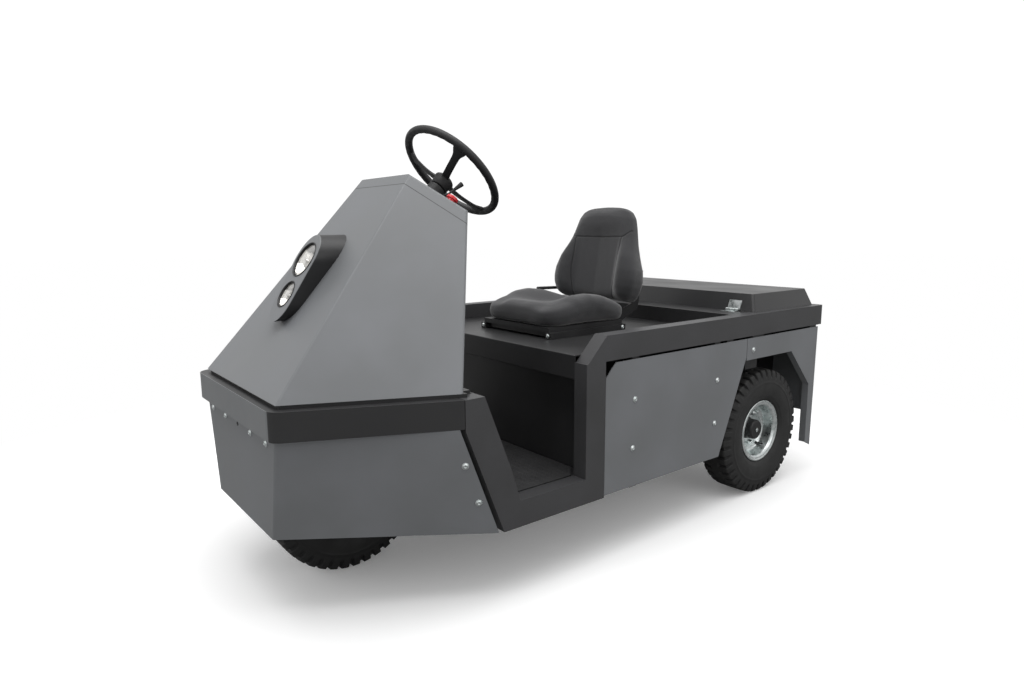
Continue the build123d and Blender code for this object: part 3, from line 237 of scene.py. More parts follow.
def joint_shaded_coat():
    """The grey coat of the cowl and its cap with a dark line where they meet: painted shade of a joint gap,
    as the two pieces meet flush. A point's distance from the joint's slanting plane sets the colour: dark up
    to SEAM_DARK_MM away, and the coat's own from SEAM_CLEAR_MM."""
    made = grey_coat.copy()
    made.name = "grey_powder_coat_with_painted_joint_shade"
    tree = made.node_tree
    shader = [node for node in tree.nodes if node.type == "BSDF_PRINCIPLED"][0]
    coat = shader.inputs["Base Color"].links[0].from_socket
    along = (SEAM_BACK - SEAM_FRONT) / np.linalg.norm(SEAM_BACK - SEAM_FRONT)
    square = np.array([0, -along[2], along[1]])
    where = [node for node in tree.nodes if node.type == "TEX_COORD"][0].outputs["Object"]
    reach = add(tree, "ShaderNodeVectorMath", {"operation": "DOT_PRODUCT"}, {0: where})
    reach.inputs[1].default_value = square.tolist()
    away = add(tree, "ShaderNodeMath", {"operation": "SUBTRACT"}, {0: reach.outputs["Value"]})
    away.inputs[1].default_value = float(square @ SEAM_FRONT)
    near = add(tree, "ShaderNodeMath", {"operation": "ABSOLUTE"}, {0: away.outputs[0]})
    share = ramp(tree, near.outputs[0], SEAM_DARK_MM * MM, SEAM_CLEAR_MM * MM, 1, 0)
    # Painted shade: the joint's dark line mixed into the coat's colour.
    tree.links.new(tint(tree, share, coat, "2a2b2c"), shader.inputs["Base Color"])
    return made


# How far behind the nose's plane the band's grey front ends and its dark coat starts.
FRONT_GREY_MM, FRONT_DARK_MM = 1.2, 1.8


def fronted_coat():
    """The band's dark coat, sprayed grey on its flat front up to the two front corners. The
    distance behind the nose's plane sets the colour."""
    made, tree, shader, where = start("two_tone_powder_coat", "2b2b2c", 0.4)
    behind = add(tree, "ShaderNodeSeparateXYZ", links={"Vector": where}).outputs["Y"]
    share = ramp(tree, behind, NOSE + FRONT_GREY_MM * MM, NOSE + FRONT_DARK_MM * MM, 0, 1)
    finish_shader(
        tree, shader,
        Base_Color=tint(tree, share, "747678", "29292a"),
        Roughness=ramp(tree, noise(tree, where, 220, 3), 0.3, 0.7, 0.34, 0.46),
        Normal=bump(tree, noise(tree, where, 1.1, 2), 0.028),
    )
    return made


# Sprayed chassis enamel under the body, a little dusty.
chassis_paint = coated("black_chassis_enamel", "141415", "1d1d1e", 0.5, 120, 2.5, 0.03)
# Injection-moulded black polypropylene with spark-eroded grain.
black_plastic = coated("grained_black_polymer", "1a1a1b", "202021", 0.5, 60, 0.9, 0.05, ior=1.49)
# Glossy red ABS of the stop button.
red_plastic = coated("red_abs_moulding", "b3131c", "cf1c26", 0.22, 30, 2, 0.004, ior=1.54)
# Natural rubber of the pedal pads.
mat_rubber = coated("ribbed_mat_rubber", "19191a", "232324", 0.7, 90, 1.4, 0.05, ior=1.52)
# Painted steel battery trough.
battery_paint = coated("battery_case_enamel", "1b1b1c", "252526", 0.55, 90, 2, 0.03)


def tyre_rubber_material():
    """Carbon-filled tyre rubber: fine moulded texture, paler scuffed lug tops."""
    made, tree, shader, where = start("carbon_black_rubber", "1d1d1d", 0.68, IOR=1.52)
    slow = noise(tree, where, 60, 4)
    fine = noise(tree, where, 1.6, 3)
    worn = add(tree, "ShaderNodeAttribute", {"attribute_name": "lug_top"}).outputs["Fac"]
    scuff = times(tree, slow, worn)
    finish_shader(
        tree, shader,
        Base_Color=tint(tree, ramp(tree, scuff, 0.2, 0.7, 0, 1), "1c1c1c", "2d2d2c"),
        Roughness=ramp(tree, slow, 0.3, 0.7, 0.6, 0.76),
        Normal=bump(tree, fine, 0.12),
    )
    return made


def zinc_material():
    """Electroplated zinc, blue passivate: metal with soft spangle and a green-grey tinge."""
    made, tree, shader, where = start("blue_passivated_zinc", "c4cbcc", 0.3, Metallic=1.0)
    slow = noise(tree, where, 22, 4, 0.6)
    fine = noise(tree, where, 0.7, 2)
    finish_shader(
        tree, shader,
        Base_Color=tint(tree, ramp(tree, slow, 0.35, 0.68, 0, 1), "c3cbca", "e8ebeb"),
        Roughness=ramp(tree, slow, 0.3, 0.7, 0.22, 0.4),
        Normal=bump(tree, fine, 0.01),
    )
    return made


def turned_steel_material():
    """Turned and oiled steel, with rings from the lathe along Z."""
    made, tree, shader, where = start("turned_oiled_steel", "8d8d8f", 0.32, Metallic=1.0)
    lathe = {"Scale": 1 / (1.2 * MM), "bands_direction": "Z"}
    rings = add(tree, "ShaderNodeTexWave", lathe, {"Vector": where})
    slow = noise(tree, where, 30, 3)
    finish_shader(
        tree, shader,
        Roughness=ramp(tree, slow, 0.3, 0.7, 0.24, 0.42),
        Normal=bump(tree, rings.outputs["Fac"], 0.01),
    )
    return made


def seat_cloth_material():
    """Woven polyester of a seat cover: two sets of threads about 1 mm wide, crossing, with a
    soft sheen and a dark line along each seam."""
    made, tree, shader, where = start(
        "woven_polyester", "2f2f31", 0.86, **{"Sheen Weight": 0.35, "Sheen Roughness": 0.45, "IOR": 1.5})
    threads = []
    for direction in ("X", "Z"):
        yarn = {"Scale": 0.5 / (1.1 * MM), "bands_direction": direction,
                "Distortion": 0.6, "Detail Scale": 3.0}
        threads.append(add(tree, "ShaderNodeTexWave", yarn, {"Vector": where}).outputs["Fac"])
    weave = times(tree, *threads)
    slow = noise(tree, where, 70, 3)
    melange = noise(tree, where, 2.2, 2, 0.7)
    seam = add(tree, "ShaderNodeAttribute", {"attribute_name": "seam"}).outputs["Fac"]
    cloth = tint(tree, ramp(tree, melange, 0.35, 0.65, 0, 1), "2a2a2c", "38383a")
    folds = bump(tree, slow, 1.2, 0.5)
    finish_shader(
        tree, shader,
        Base_Color=tint(tree, seam, cloth, "101011"),
        Normal=bump(tree, weave, 0.16, 0.8, folds),
    )
    return made


def lens_material():
    """Clear moulded polycarbonate lens with faint flow lines."""
    made, tree, shader, where = start("clear_polycarbonate", "ffffff", 0.02,
                                      **{"Transmission Weight": 1.0, "IOR": 1.58})
    finish_shader(tree, shader, Normal=bump(tree, noise(tree, where, 14, 2), 0.02))
    return made


def mirror_material():
    """Vapour-coated aluminium of a lamp reflector, with its own slight ripple; its faint warm tint is a
    painted warm reflection.
    """
    made, tree, shader, where = start("vapour_coated_reflector", "f1eee8", 0.06, Metallic=1.0)
    finish_shader(tree, shader, Normal=bump(tree, noise(tree, where, 8, 2), 0.05))
    return made


def red_lens_material():
    """Red acrylic lamp lens with small prisms 5 mm apart."""
    made, tree, shader, where = start("red_acrylic_lens", "a30a10", 0.12, **{"IOR": 1.49, "Coat Weight": 0.6})
    prisms = add(tree, "ShaderNodeTexVoronoi", {"Scale": 1 / (5 * MM), "Randomness": 0.0}, {"Vector": where})
    finish_shader(tree, shader, Normal=bump(tree, prisms.outputs["Distance"], 0.6, 0.5))
    return made


def floor_mat_material():
    """Black rubber floor mat with raised round studs 24 mm apart."""
    made, tree, shader, where = start("studded_floor_rubber", "2a2a2b", 0.62, IOR=1.52)
    grid = {"Scale": 1 / (24 * MM), "Randomness": 0.0, "voronoi_dimensions": "2D"}
    cells = add(tree, "ShaderNodeTexVoronoi", grid, {"Vector": where})
    round_studs = ramp(tree, cells.outputs["Distance"], 0.3, 0.36, 1, 0)
    slow = noise(tree, where, 80, 4)
    fine = noise(tree, where, 1.5, 2)
    finish_shader(
        tree, shader,
        Base_Color=tint(tree, ramp(tree, slow, 0.3, 0.7, 0, 1), "232324", "2f2f30"),
        Normal=bump(tree, round_studs, 1.0, 0.9, bump(tree, fine, 0.06)),
    )
    return made


tyre_rubber = tyre_rubber_material()
zinc = zinc_material()
turned_steel = turned_steel_material()
seat_cloth = seat_cloth_material()
clear_lens = lens_material()
lamp_mirror = mirror_material()
red_lens = red_lens_material()
studded_mat = floor_mat_material()

FINISHES = {
    "grey_powder_coat": grey_coat, "dark_powder_coat": dark_coat, "black_chassis_paint": chassis_paint,
    "zinc_plate": zinc, "axle_steel": turned_steel, "tyre_rubber": tyre_rubber, "mat_rubber": mat_rubber,
    "black_plastic": black_plastic, "red_plastic": red_plastic, "red_lens": red_lens,
    "clear_lens": clear_lens, "lamp_mirror": lamp_mirror, "seat_cloth": seat_cloth,
    "battery_case": battery_paint,
}
cowl_coat = joint_shaded_coat()
# Pieces whose finish differs from that of their slot.
OWN_FINISHES = {"floor_mat": studded_mat, "cowl_shell": cowl_coat, "dash_cap": cowl_coat,
                "bumper_band": fronted_coat(), "lamp_pod": shaded_pod_coat}
# The rails and the step's frames take the paler copy of the dark coat: painted light.
for name in ("rail_left", "rail_right", "rail_rear", "door_frame_left", "door_frame_right"):
    OWN_FINISHES[name] = lit_dark_coat
for piece in frame["record"]["subparts"]:
    finish = OWN_FINISHES.get(piece["node"], FINISHES[piece["material_slot"]])
    for place in frame["nodes"][piece["node"]].material_slots:
        place.material = finish

# ---------------------------------------------------------------- wheels
# Millimetres; an axle's place is its distance behind the nose.
WHEEL_RADIUS = 270
HALF_TRACK = 475.5
REAR_AXLE, FRONT_AXLE = 2042, 354
LUGS = 40
LUG_DEPTH = 10
# Radii between which the lugs grow to full depth, and the plain band's half-width and its end.
LUG_FOOT, LUG_FULL = 231, 252
BAND_HALF, BAND_END = 19.5, 22
# Radii between which the scuffed tops of the lugs start.
SCUFF_FROM, SCUFF_FULL = 255, 266
# Shares of one pitch: a lug goes from 0 to LUG_END on one half of the tread and from 0.5 on
# over the same share on the other, with slopes as wide as LUG_SLOPE beside each end.
LUG_END, LUG_SLOPE = 0.62, 0.028
LUG_EDGES = (0.0, 0.12, 0.5, LUG_END)
LUG_STEPS = [0.06, 0.22, 0.31, 0.40, 0.72, 0.81, 0.90]
# Columns: distance from the middle of the tread, radius; from bead to tread centre, mm.
TYRE_PROFILE = np.array([
    (50.5, 116), (51.5, 134), (54, 137), (59, 142), (62.5, 147), (63.4, 150.5), (64.6, 151.5),
    (66.4, 158), (69.4, 170), (71.4, 182), (72.2, 194), (71.8, 206), (71.6, 212), (72.1, 213.2),
    (71.9, 216.8), (70.9, 218), (70.2, 226), (69.6, 232), (68.8, 238), (67.6, 244), (66.2, 250),
    (64.4, 256), (62.2, 262), (59.6, 266.4), (56, 268.6), (50, 269.2), (42, 269.6), (34, 269.8),
    (26, 269.9), (21.5, 270), (19.5, 270), (12, 270), (4, 270),
])


def tyre(name, centre, body):
    """Tread and sidewall: the profile turned round the axle, where each point of the lug
    zone sinks by LUG_DEPTH times a mask that is 0 on a lug and 1 between two lugs. The two
    halves of the tread are half a pitch apart."""
    marks = np.array([-LUG_SLOPE, 0.0, LUG_SLOPE])
    edges = np.concatenate([(edge + marks) for edge in LUG_EDGES])
    pitch = np.sort(np.concatenate([edges, LUG_STEPS]) % 1.0)
    turn = (np.arange(LUGS)[:, None] + pitch[None, :]).ravel() / LUGS
    profile = np.concatenate([TYRE_PROFILE * [-1, 1], TYRE_PROFILE[::-1]])
    along, radius = profile.T
    phase = (turn[:, None] * LUGS - np.where(along < 0, 0.0, 0.5)[None, :]) % 1.0
    ended = smoothstep(LUG_END - LUG_SLOPE, LUG_END + LUG_SLOPE, phase)
    on_lug = smoothstep(-LUG_SLOPE, LUG_SLOPE, phase) * (1 - ended)
    on_lug = on_lug + smoothstep(1 - LUG_SLOPE, 1 + LUG_SLOPE, phase)
    zone = smoothstep(LUG_FOOT, LUG_FULL, radius) * smoothstep(BAND_HALF, BAND_END, np.abs(along))
    depth = LUG_DEPTH * zone[None, :] * (1 - on_lug)
    outer = smoothstep(SCUFF_FROM, SCUFF_FULL, radius)
    top = np.broadcast_to(outer[None, :], depth.shape) * (1 - depth / LUG_DEPTH)
    slope = np.gradient(profile, axis=0)
    inward = np.stack([slope[:, 1], -slope[:, 0]], 1)
    inward /= np.linalg.norm(inward, axis=1, keepdims=True)
    inward *= np.where((inward[:, 1] > 0) | ((inward * profile).sum(1) > 0), -1, 1)[:, None]
    across = along[None, :] + depth * inward[None, :, 0]
    reach = radius[None, :] + depth * inward[None, :, 1]
    angle = 2 * np.pi * turn[:, None]
    points = np.stack([centre[0] + across * MM, centre[1] + reach * MM * np.sin(angle),
                       centre[2] + reach * MM * np.cos(angle)], -1)
    faces = grid_faces(len(turn), len(along), close_rows=True)
    made = mesh_object(name, points, faces, tyre_rubber, body)
    made.data.attributes.new("lug_top", "FLOAT", "POINT").data.foreach_set("value", top.ravel())
    return made


# Columns: distance outwards from the middle of the rim, radius, mm.
RIM_PROFILE = [
    (-56, 132), (-55, 134), (-53.4, 134), (-52.2, 132), (-52, 118), (-50, 114.6), (-20, 112), (0, 112),
    (40, 114.3), (49.6, 114.6), (51.8, 118), (52.2, 131.6), (53.2, 133.6), (55.0, 134), (56.6, 133),
    (57.2, 130.6), (56.6, 127.6), (55.4, 125.4), (54.6, 122.6), (54.6, 119.6), (53.6, 117), (50, 112.6),
    (47, 110.6), (43, 109.6), (24, 108.6), (8, 107.4), (0, 104), (-4.4, 98), (-6.6, 92), (-7.6, 86),
    (-7.9, 60), (-7.9, 50), (-9.2, 47.4), (-11, 46.4), (-15.9, 46.2), (-16, 98), (-14, 104),
    (-22, 108.2), (-49, 110), (-54, 113), (-56, 118), (-56, 132),
]
# The same columns for the small pieces of a wheel. The hub's cap and plug are measured from
# the rim's middle, and the others from the face they sit on.
NUT_PROFILE = [
    (-9, 0), (-9, 12.5), (-3, 12.5), (-1, 10.8), (-0.4, 10.4), (9, 10.4), (10.2, 9.4), (10.6, 5.6),
    (16, 5.4), (17, 4.6), (17, 0),
]
RIM_BOLT_PROFILE = [(-9, 0), (-9, 7.4), (-2.4, 7.4), (-1.8, 6.9), (-1.2, 6.6), (0, 0)]
VALVE_PROFILE = [(-20, 0), (-20, 5), (4, 4.4), (8, 3.6), (24, 3.4), (25, 4), (34, 4), (35, 3), (35, 0)]
HUB_CAP_PROFILE = [
    (-8, 42), (-8, 43.6), (32, 43), (36, 40.6), (38.2, 37.4), (38.4, 34.6), (37.6, 33), (37.6, 13.6),
    (38.6, 12), (38.6, 0), (36, 0),
]
HUB_PLUG_PROFILE = [(41.6, 0.1), (41, 9), (38, 0.1)]
NUTS, NUT_CIRCLE, FIRST_NUT = 5, 70, 0.35
RIM_BOLTS, RIM_BOLT_CIRCLE, FIRST_RIM_BOLT = 8, 93, 0.1
VALVE_CIRCLE, VALVE_DIRECTION = 99, np.array([0, 0.62, -0.78])


def on_circle(count, radius, first):
    """Places at even steps round the X axis at a radius in mm, from a first angle on."""
    turn = np.arange(count) * 2 * np.pi / count + first
    return np.stack([np.zeros(count), np.sin(turn), np.cos(turn)], 1) * radius * MM


def wheel_faces(side, x, station, body):
    """Rim, wheel nuts, rim bolts and valve of one wheel, facing out to one side."""
    centre, axis = at(x, station, WHEEL_RADIUS), (side, 0, 0)
    profile = np.array(RIM_PROFILE) * MM
    made = revolved(f"rim_{body}", profile[::-1], centre, axis, zinc, body, 144)
    nuts = centre + on_circle(NUTS, NUT_CIRCLE, FIRST_NUT)
    studs(f"wheel_nuts_{body}", np.array(NUT_PROFILE) * MM, nuts, [axis] * NUTS,
          zinc, body, 24)
    bolts = centre + on_circle(RIM_BOLTS, RIM_BOLT_CIRCLE, FIRST_RIM_BOLT)
    studs(f"rim_bolts_{body}", np.array(RIM_BOLT_PROFILE) * MM, bolts, [axis] * RIM_BOLTS,
          zinc, body, 18)
    valve = centre + VALVE_DIRECTION * VALVE_CIRCLE * MM
    studs(f"valve_{body}", np.array(VALVE_PROFILE) * MM, [valve], [axis],
          black_plastic, body, 16)
    return made


WHEELS = (
    ("rear_wheel_left", 1, HALF_TRACK, REAR_AXLE, "rear_tyre_left", "rear_rim_left"),
    ("rear_wheel_right", -1, -HALF_TRACK, REAR_AXLE, "rear_tyre_right", "rear_rim_right"),
    ("front_wheel", 1, 0, FRONT_AXLE, "front_tyre", "front_rim"),
)
for body, side, x, station, tyre_node, rim_node in WHEELS:
    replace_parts(tyre(f"tyre_{body}", at(x, station, WHEEL_RADIUS), body), tyre_node)
    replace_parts(wheel_faces(side, x, station, body), rim_node)

for side, body in ((1, "rear_wheel_left"), (-1, "rear_wheel_right")):
    middle = at(side * HALF_TRACK, REAR_AXLE, WHEEL_RADIUS)
    revolved(f"hub_cap_{body}", np.array(HUB_CAP_PROFILE) * MM, middle, (side, 0, 0),
             black_plastic, body, 72)
    revolved(f"hub_plug_{body}", np.array(HUB_PLUG_PROFILE) * MM, middle, (side, 0, 0),
             zinc, body, 24)

# ---------------------------------------------------------------- handwheel
HAND_CENTRE = at(0, 820, 1342.6)
TILT = np.radians(46)
HAND_UP = np.array([0, np.sin(TILT), np.cos(TILT)])
HAND_BACK = np.array([0, np.cos(TILT), -np.sin(TILT)])
RIM_MIDDLE, RIM_TUBE = 190 * MM, 14 * MM
GRIPS, GRIP_DEPTH = 36, 0.9 * MM
# Points round the rim and round its tube, along a spoke and round it.
RIM_STEPS, TUBE_STEPS = 288, 28
SPOKE_STEPS, SPOKE_ROUND = 60, 32


def hand_rim():
    """Torus round the column axis with finger grips underneath: the tube's radius is
    constant less a shallow cosine wave, once for each grip, on its lower inner side."""
    turn = np.linspace(0, 2 * np.pi, RIM_STEPS, endpoint=False)[:, None]
    round_tube = np.linspace(0, 2 * np.pi, TUBE_STEPS, endpoint=False)[None, :]
    under = np.clip(-np.sin(round_tube + 0.5), 0, 1)
    tube = RIM_TUBE - GRIP_DEPTH * under * (0.5 + 0.5 * np.cos(GRIPS * turn))
    reach = RIM_MIDDLE + tube * np.cos(round_tube)
    outward = np.cos(turn)[..., None] * np.array([1, 0, 0]) + np.sin(turn)[..., None] * HAND_BACK
    points = HAND_CENTRE + reach[..., None] * outward + (tube * np.sin(round_tube))[..., None] * HAND_UP
    faces = grid_faces(RIM_STEPS, TUBE_STEPS, True, True)
    return mesh_object("handwheel_rim", points, faces, black_plastic, "steering_wheel")


# Columns: distance from the axis, height above the rim plane, width, thickness, mm.
SPOKE = np.array([
    (12, -48, 30, 12), (30, -47, 29, 11), (55, -43.5, 27.5, 9), (85, -36, 27, 8), (115, -26.5, 27, 8),
    (140, -18, 28, 8.5), (152, -13.5, 33, 9.5), (161, -9.5, 43, 11.5), (169, -6, 50, 14), (178, -2.5, 52, 16),
    (186, 0, 50, 16),
])


def hand_spoke(name, degrees):
    """Spoke swept along its line in a plane through the axis: each cross-section is a
    rounded rectangle (a superellipse of power 5) of the table's width and thickness."""
    angle = np.radians(degrees)
    outward = np.cos(angle) * np.array([1, 0, 0]) + np.sin(angle) * HAND_BACK
    sideways = np.cross(HAND_UP, outward)
    steps = np.linspace(0, len(SPOKE) - 1, SPOKE_STEPS)
    reach, rise, width, thick = (np.interp(steps, np.arange(len(SPOKE)), column) for column in SPOKE.T)
    line = np.stack([reach, rise], 1)
    run = np.gradient(line, axis=0)
    run /= np.linalg.norm(run, axis=1, keepdims=True)
    turn = np.linspace(0, 2 * np.pi, SPOKE_ROUND, endpoint=False)
    across, through = power_curve(turn, 0.4)
    lift = through[None, :] * thick[:, None] / 2
    out = line[:, :1] - run[:, 1:] * lift
    up = line[:, 1:] + run[:, :1] * lift
    aside = across[None, :] * width[:, None] / 2
    points = HAND_CENTRE + MM * (out[..., None] * outward + up[..., None] * HAND_UP
                                 + aside[..., None] * sideways)
    faces = grid_faces(SPOKE_STEPS, SPOKE_ROUND, False, True, flip=True)
    return mesh_object(name, points, faces, black_plastic, "steering_wheel")


# Columns: height above the rim plane, radius, mm.
HAND_HUB_PROFILE = [
    (-82, 0), (-82, 31), (-80, 33.4), (-60, 34.6), (-50, 37), (-45, 37.6), (-42, 36.6), (-38.6, 33),
    (-36.6, 27), (-36, 20), (-35.6, 19), (-34.8, 12), (-34.6, 0),
]
SHAFT_PROFILE = [(-171, 0), (-171, 10), (-81, 10), (-81, 0)]
revolved("handwheel_hub", np.array(HAND_HUB_PROFILE) * MM, HAND_CENTRE, HAND_UP, black_plastic,
         "steering_wheel", 72)
revolved("steering_shaft", np.array(SHAFT_PROFILE) * MM, HAND_CENTRE, HAND_UP, turned_steel,
         "steering_wheel", 32)
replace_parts(hand_rim(), "handwheel")
for degrees in (-30, -150, 90):
    hand_spoke(f"handwheel_spoke_{degrees % 360}", degrees)

# ---------------------------------------------------------------- screws and bolts
# Columns: height above the sheet, radius, mm.
BUTTON_HEAD = np.array([
    (0, 0), (0, 11), (1.4, 11), (1.6, 10.4), (1.6, 8.6), (3.4, 8.0), (4.8, 6.4), (5.4, 4.0),
    (5.4, 3.2), (3.6, 3.0), (3.6, 0),
]) * MM
FRONT_PLUG = np.array([(0, 0), (0, 7), (0.8, 6.6), (0.8, 4.5), (0.2, 4), (0.2, 0)]) * MM
# The apron's half-width at its front and top, how its sides flare to the rear and lean inwards
# to the floor, per mm, and how far its front stands behind the nose.
APRON_HALF, APRON_FRONT, APRON_TOP = 323, 20, 580
APRON_FLARE, APRON_LEAN = 0.535, 0.215
APRON_SIDE = facing(1, -APRON_FLARE, -APRON_LEAN)
# The side panels' faces and their bolts, as distance behind the nose and height.
PANEL_SIDE = 562
PANEL_BOLTS = ((1194.5, 552.7), (1670, 552.7), (1663, 380), (1187.5, 377), (1909, 646))
FRONT_HOLE_HEIGHT = 554


def on_apron_side(station, z, side):
    """Point on the apron's leaning side at a station and height."""
    half = APRON_HALF - (APRON_TOP - z) * APRON_LEAN + APRON_FLARE * (station - APRON_FRONT)
    return at(side * half, station, z)


for side, label in ((1, "left"), (-1, "right")):
    outward = APRON_SIDE * np.array([side, 1, 1])
    places = [on_apron_side(487, 465, side), on_apron_side(534, 341, side)]
    studs(f"apron_bolts_{label}", BUTTON_HEAD, places, [outward] * 2, zinc, "chassis")
    places = [at(side * PANEL_SIDE, station, z) for station, z in PANEL_BOLTS]
    studs(f"panel_bolts_{label}", BUTTON_HEAD, places, [(side, 0, 0)] * 5, zinc, "chassis")
front_bolts = [at(x, APRON_FRONT, FRONT_HOLE_HEIGHT) for x in (-262, -126, 116, 248)]
studs("front_bolts", BUTTON_HEAD, front_bolts, [(0, -1, 0)] * 4, zinc, "chassis")
# Black plug in the empty hole between them.
studs("front_plug", FRONT_PLUG, [at(-5, APRON_FRONT, FRONT_HOLE_HEIGHT)], [(0, -1, 0)],
      black_plastic, "chassis")
# Stops of the seat's slides: one on each front end and one on each outer side near the rear.
slide_stops = [at(205, 1103, 741), at(-205, 1103, 741), at(220, 1496, 741), at(-220, 1496, 741)]
studs("slide_stops", BUTTON_HEAD * 0.8, slide_stops, [(0, -1, 0), (0, -1, 0), (1, 0, 0), (-1, 0, 0)],
      zinc, "chassis")

# ---------------------------------------------------------------- seat
BACK_LEAN = np.radians(10.2)
BACK_FOOT = at(0, 1532, 850)
BACK_UP = np.array([0, np.sin(BACK_LEAN), np.cos(BACK_LEAN)])
BACK_FRONT = np.array([0, -np.cos(BACK_LEAN), np.sin(BACK_LEAN)])


def cover(name, points):
    """A closed seat cover from rows of points whose first and last rows each meet in a point."""
    faces = grid_faces(*points.shape[:2], False, True)
    return mesh_object(name, points, faces, seat_cloth, "chassis")


CUSHION_STATION, CUSHION_BASE = 1324, 774
CUSHION_HALF_WIDTH, CUSHION_HALF_DEPTH = 222, 226
# Columns: distance behind the cushion's middle, then height of its side and of its middle, mm.
CUSHION_TOP = np.array([
    (-221, 62, 76), (-175, 73, 82), (-125, 87, 76), (-75, 103, 67), (-25, 112, 60),
    (25, 110, 57), (75, 101, 56), (125, 86, 56), (175, 70, 57), (221, 57, 58),
])
# Columns: share of the way from the base's middle to the top's, reach outwards, rise.
CUSHION_EDGE = np.array([
    (0, 0.001, 0), (0.30, 0.90, 0), (0.35, 0.955, 0.04), (0.39, 0.985, 0.16), (0.46, 1, 0.5),
    (0.52, 0.99, 0.84), (0.56, 0.965, 0.94), (0.61, 0.91, 0.99), (1, 0.001, 1),
])


def cushion_skin():
    """Seat cushion: rings from the middle of the base over the edge to the middle of the
    top. A ring is a superellipse drawn in between its corners, and the top's height
    goes from the middle's profile to the side's as a point nears the edge."""
    rings = np.linspace(0, 1, 64)[:, None]
    turn = np.linspace(0, 2 * np.pi, 160, endpoint=False)[None, :]
    share, out, rise = CUSHION_EDGE.T
    reach, lift = np.interp(rings, share, out), np.interp(rings, share, rise)
    cx, cy = power_curve(turn, 0.33)
    x = CUSHION_HALF_WIDTH * reach * cx * (1 - 0.02 * (1 - cy ** 2))
    y = CUSHION_HALF_DEPTH * reach * cy * (1 - 0.025 * (1 - cx ** 2))
    behind, side_top, middle_top = CUSHION_TOP.T
    side, middle = np.interp(y, behind, side_top), np.interp(y, behind, middle_top)
    top = middle + (side - middle) * smoothstep(45, 168, np.abs(x))
    z = CUSHION_BASE + (top - 3) * lift
    return np.stack([x * MM, (NOSE + CUSHION_STATION * MM) + y * MM, z * MM], -1)


# Columns: distance up the backrest, half-width, how far its bolsters stand forward, mm.
BACK_OUTLINE = np.array([
    (-9, 188, 16), (-2, 203, 22), (8, 212, 29), (20, 220, 36), (50, 231, 44), (82, 235, 46),
    (120, 230, 46), (175, 212, 38), (220, 197, 23), (262, 184, 9), (310, 170, 2), (345, 158, 0),
    (372, 138, 0), (386, 112, 0), (394, 70, 0), (397, 2, 0),
])
BACK_HOLLOW, HOLLOW_WIDTH = 15, 95


def back_skin():
    """Backrest: level slices up the back. A slice is a superellipse, rounder behind than
    in front, between a back that thins upwards and a front that is hollow in the middle
    and swells forward at both sides."""
    up = np.concatenate([np.linspace(-9, 20, 10)[:-1], np.linspace(20, 370, 70),
                         np.linspace(370, 397, 12)[1:]])
    half, bolster = (np.interp(up, BACK_OUTLINE[:, 0], BACK_OUTLINE[:, k])[:, None] for k in (1, 2))
    turn = np.linspace(0, 2 * np.pi, 140, endpoint=False)[None, :]
    cx, cn = power_curve(turn, np.where(np.sin(turn) > 0, 0.36, 0.6))
    x = half * cx
    hollow = BACK_HOLLOW * np.exp(-(x / HOLLOW_WIDTH) ** 2) * (1 - smoothstep(250, 320, up[:, None]))
    front = bolster * smoothstep(108, 178, np.abs(x)) - hollow
    back = np.interp(up, [0, 130, 397], [-92, -92, -64])[:, None]
    full = np.interp(up, [-9, -3, 8, 345, 375, 390, 397], [0.7, 0.88, 1, 1, 0.86, 0.6, 0.3])[:, None]
    forward = (front + back) / 2 + (front - back) / 2 * cn * full
    rows = BACK_FOOT + MM * (x[..., None] * np.array([1, 0, 0]) + up[:, None, None] * BACK_UP
                             + forward[..., None] * BACK_FRONT)
    first, last = (np.broadcast_to(row.mean(0), row.shape)[None] for row in (rows[0], rows[-1]))
    return np.concatenate([first, rows, last])


def vectors(mesh, what):
    """Each vertex's position or normal, as single precision rows of three."""
    values = np.empty(len(mesh.vertices) * 3, np.float32)
    mesh.vertices.foreach_get(what, values)
    return values.reshape(-1, 3)


def ironed(mesh, move, rounds):
    """Put the mean of its neighbours' moves in place of each point's move, several times."""
    pairs = np.empty(len(mesh.edges) * 2, np.int32)
    mesh.edges.foreach_get("vertices", pairs)
    first, second = pairs.reshape(-1, 2).T
    degree = np.bincount(pairs, minlength=len(move))[:, None]
    for _ in range(rounds):
        total = [np.bincount(first, move[second, k], len(move))
                 + np.bincount(second, move[first, k], len(move)) for k in range(3)]
        move = np.stack(total, -1) / degree
    return move


VOXEL_MM = 5.0
PRESSURE, STRETCH_STIFFNESS, BEND_STIFFNESS = 4.0, 22, 1.2
CLOTH_STEPS = 20
SWELL_CAP_MM = 7
IRON_ROUNDS = 14


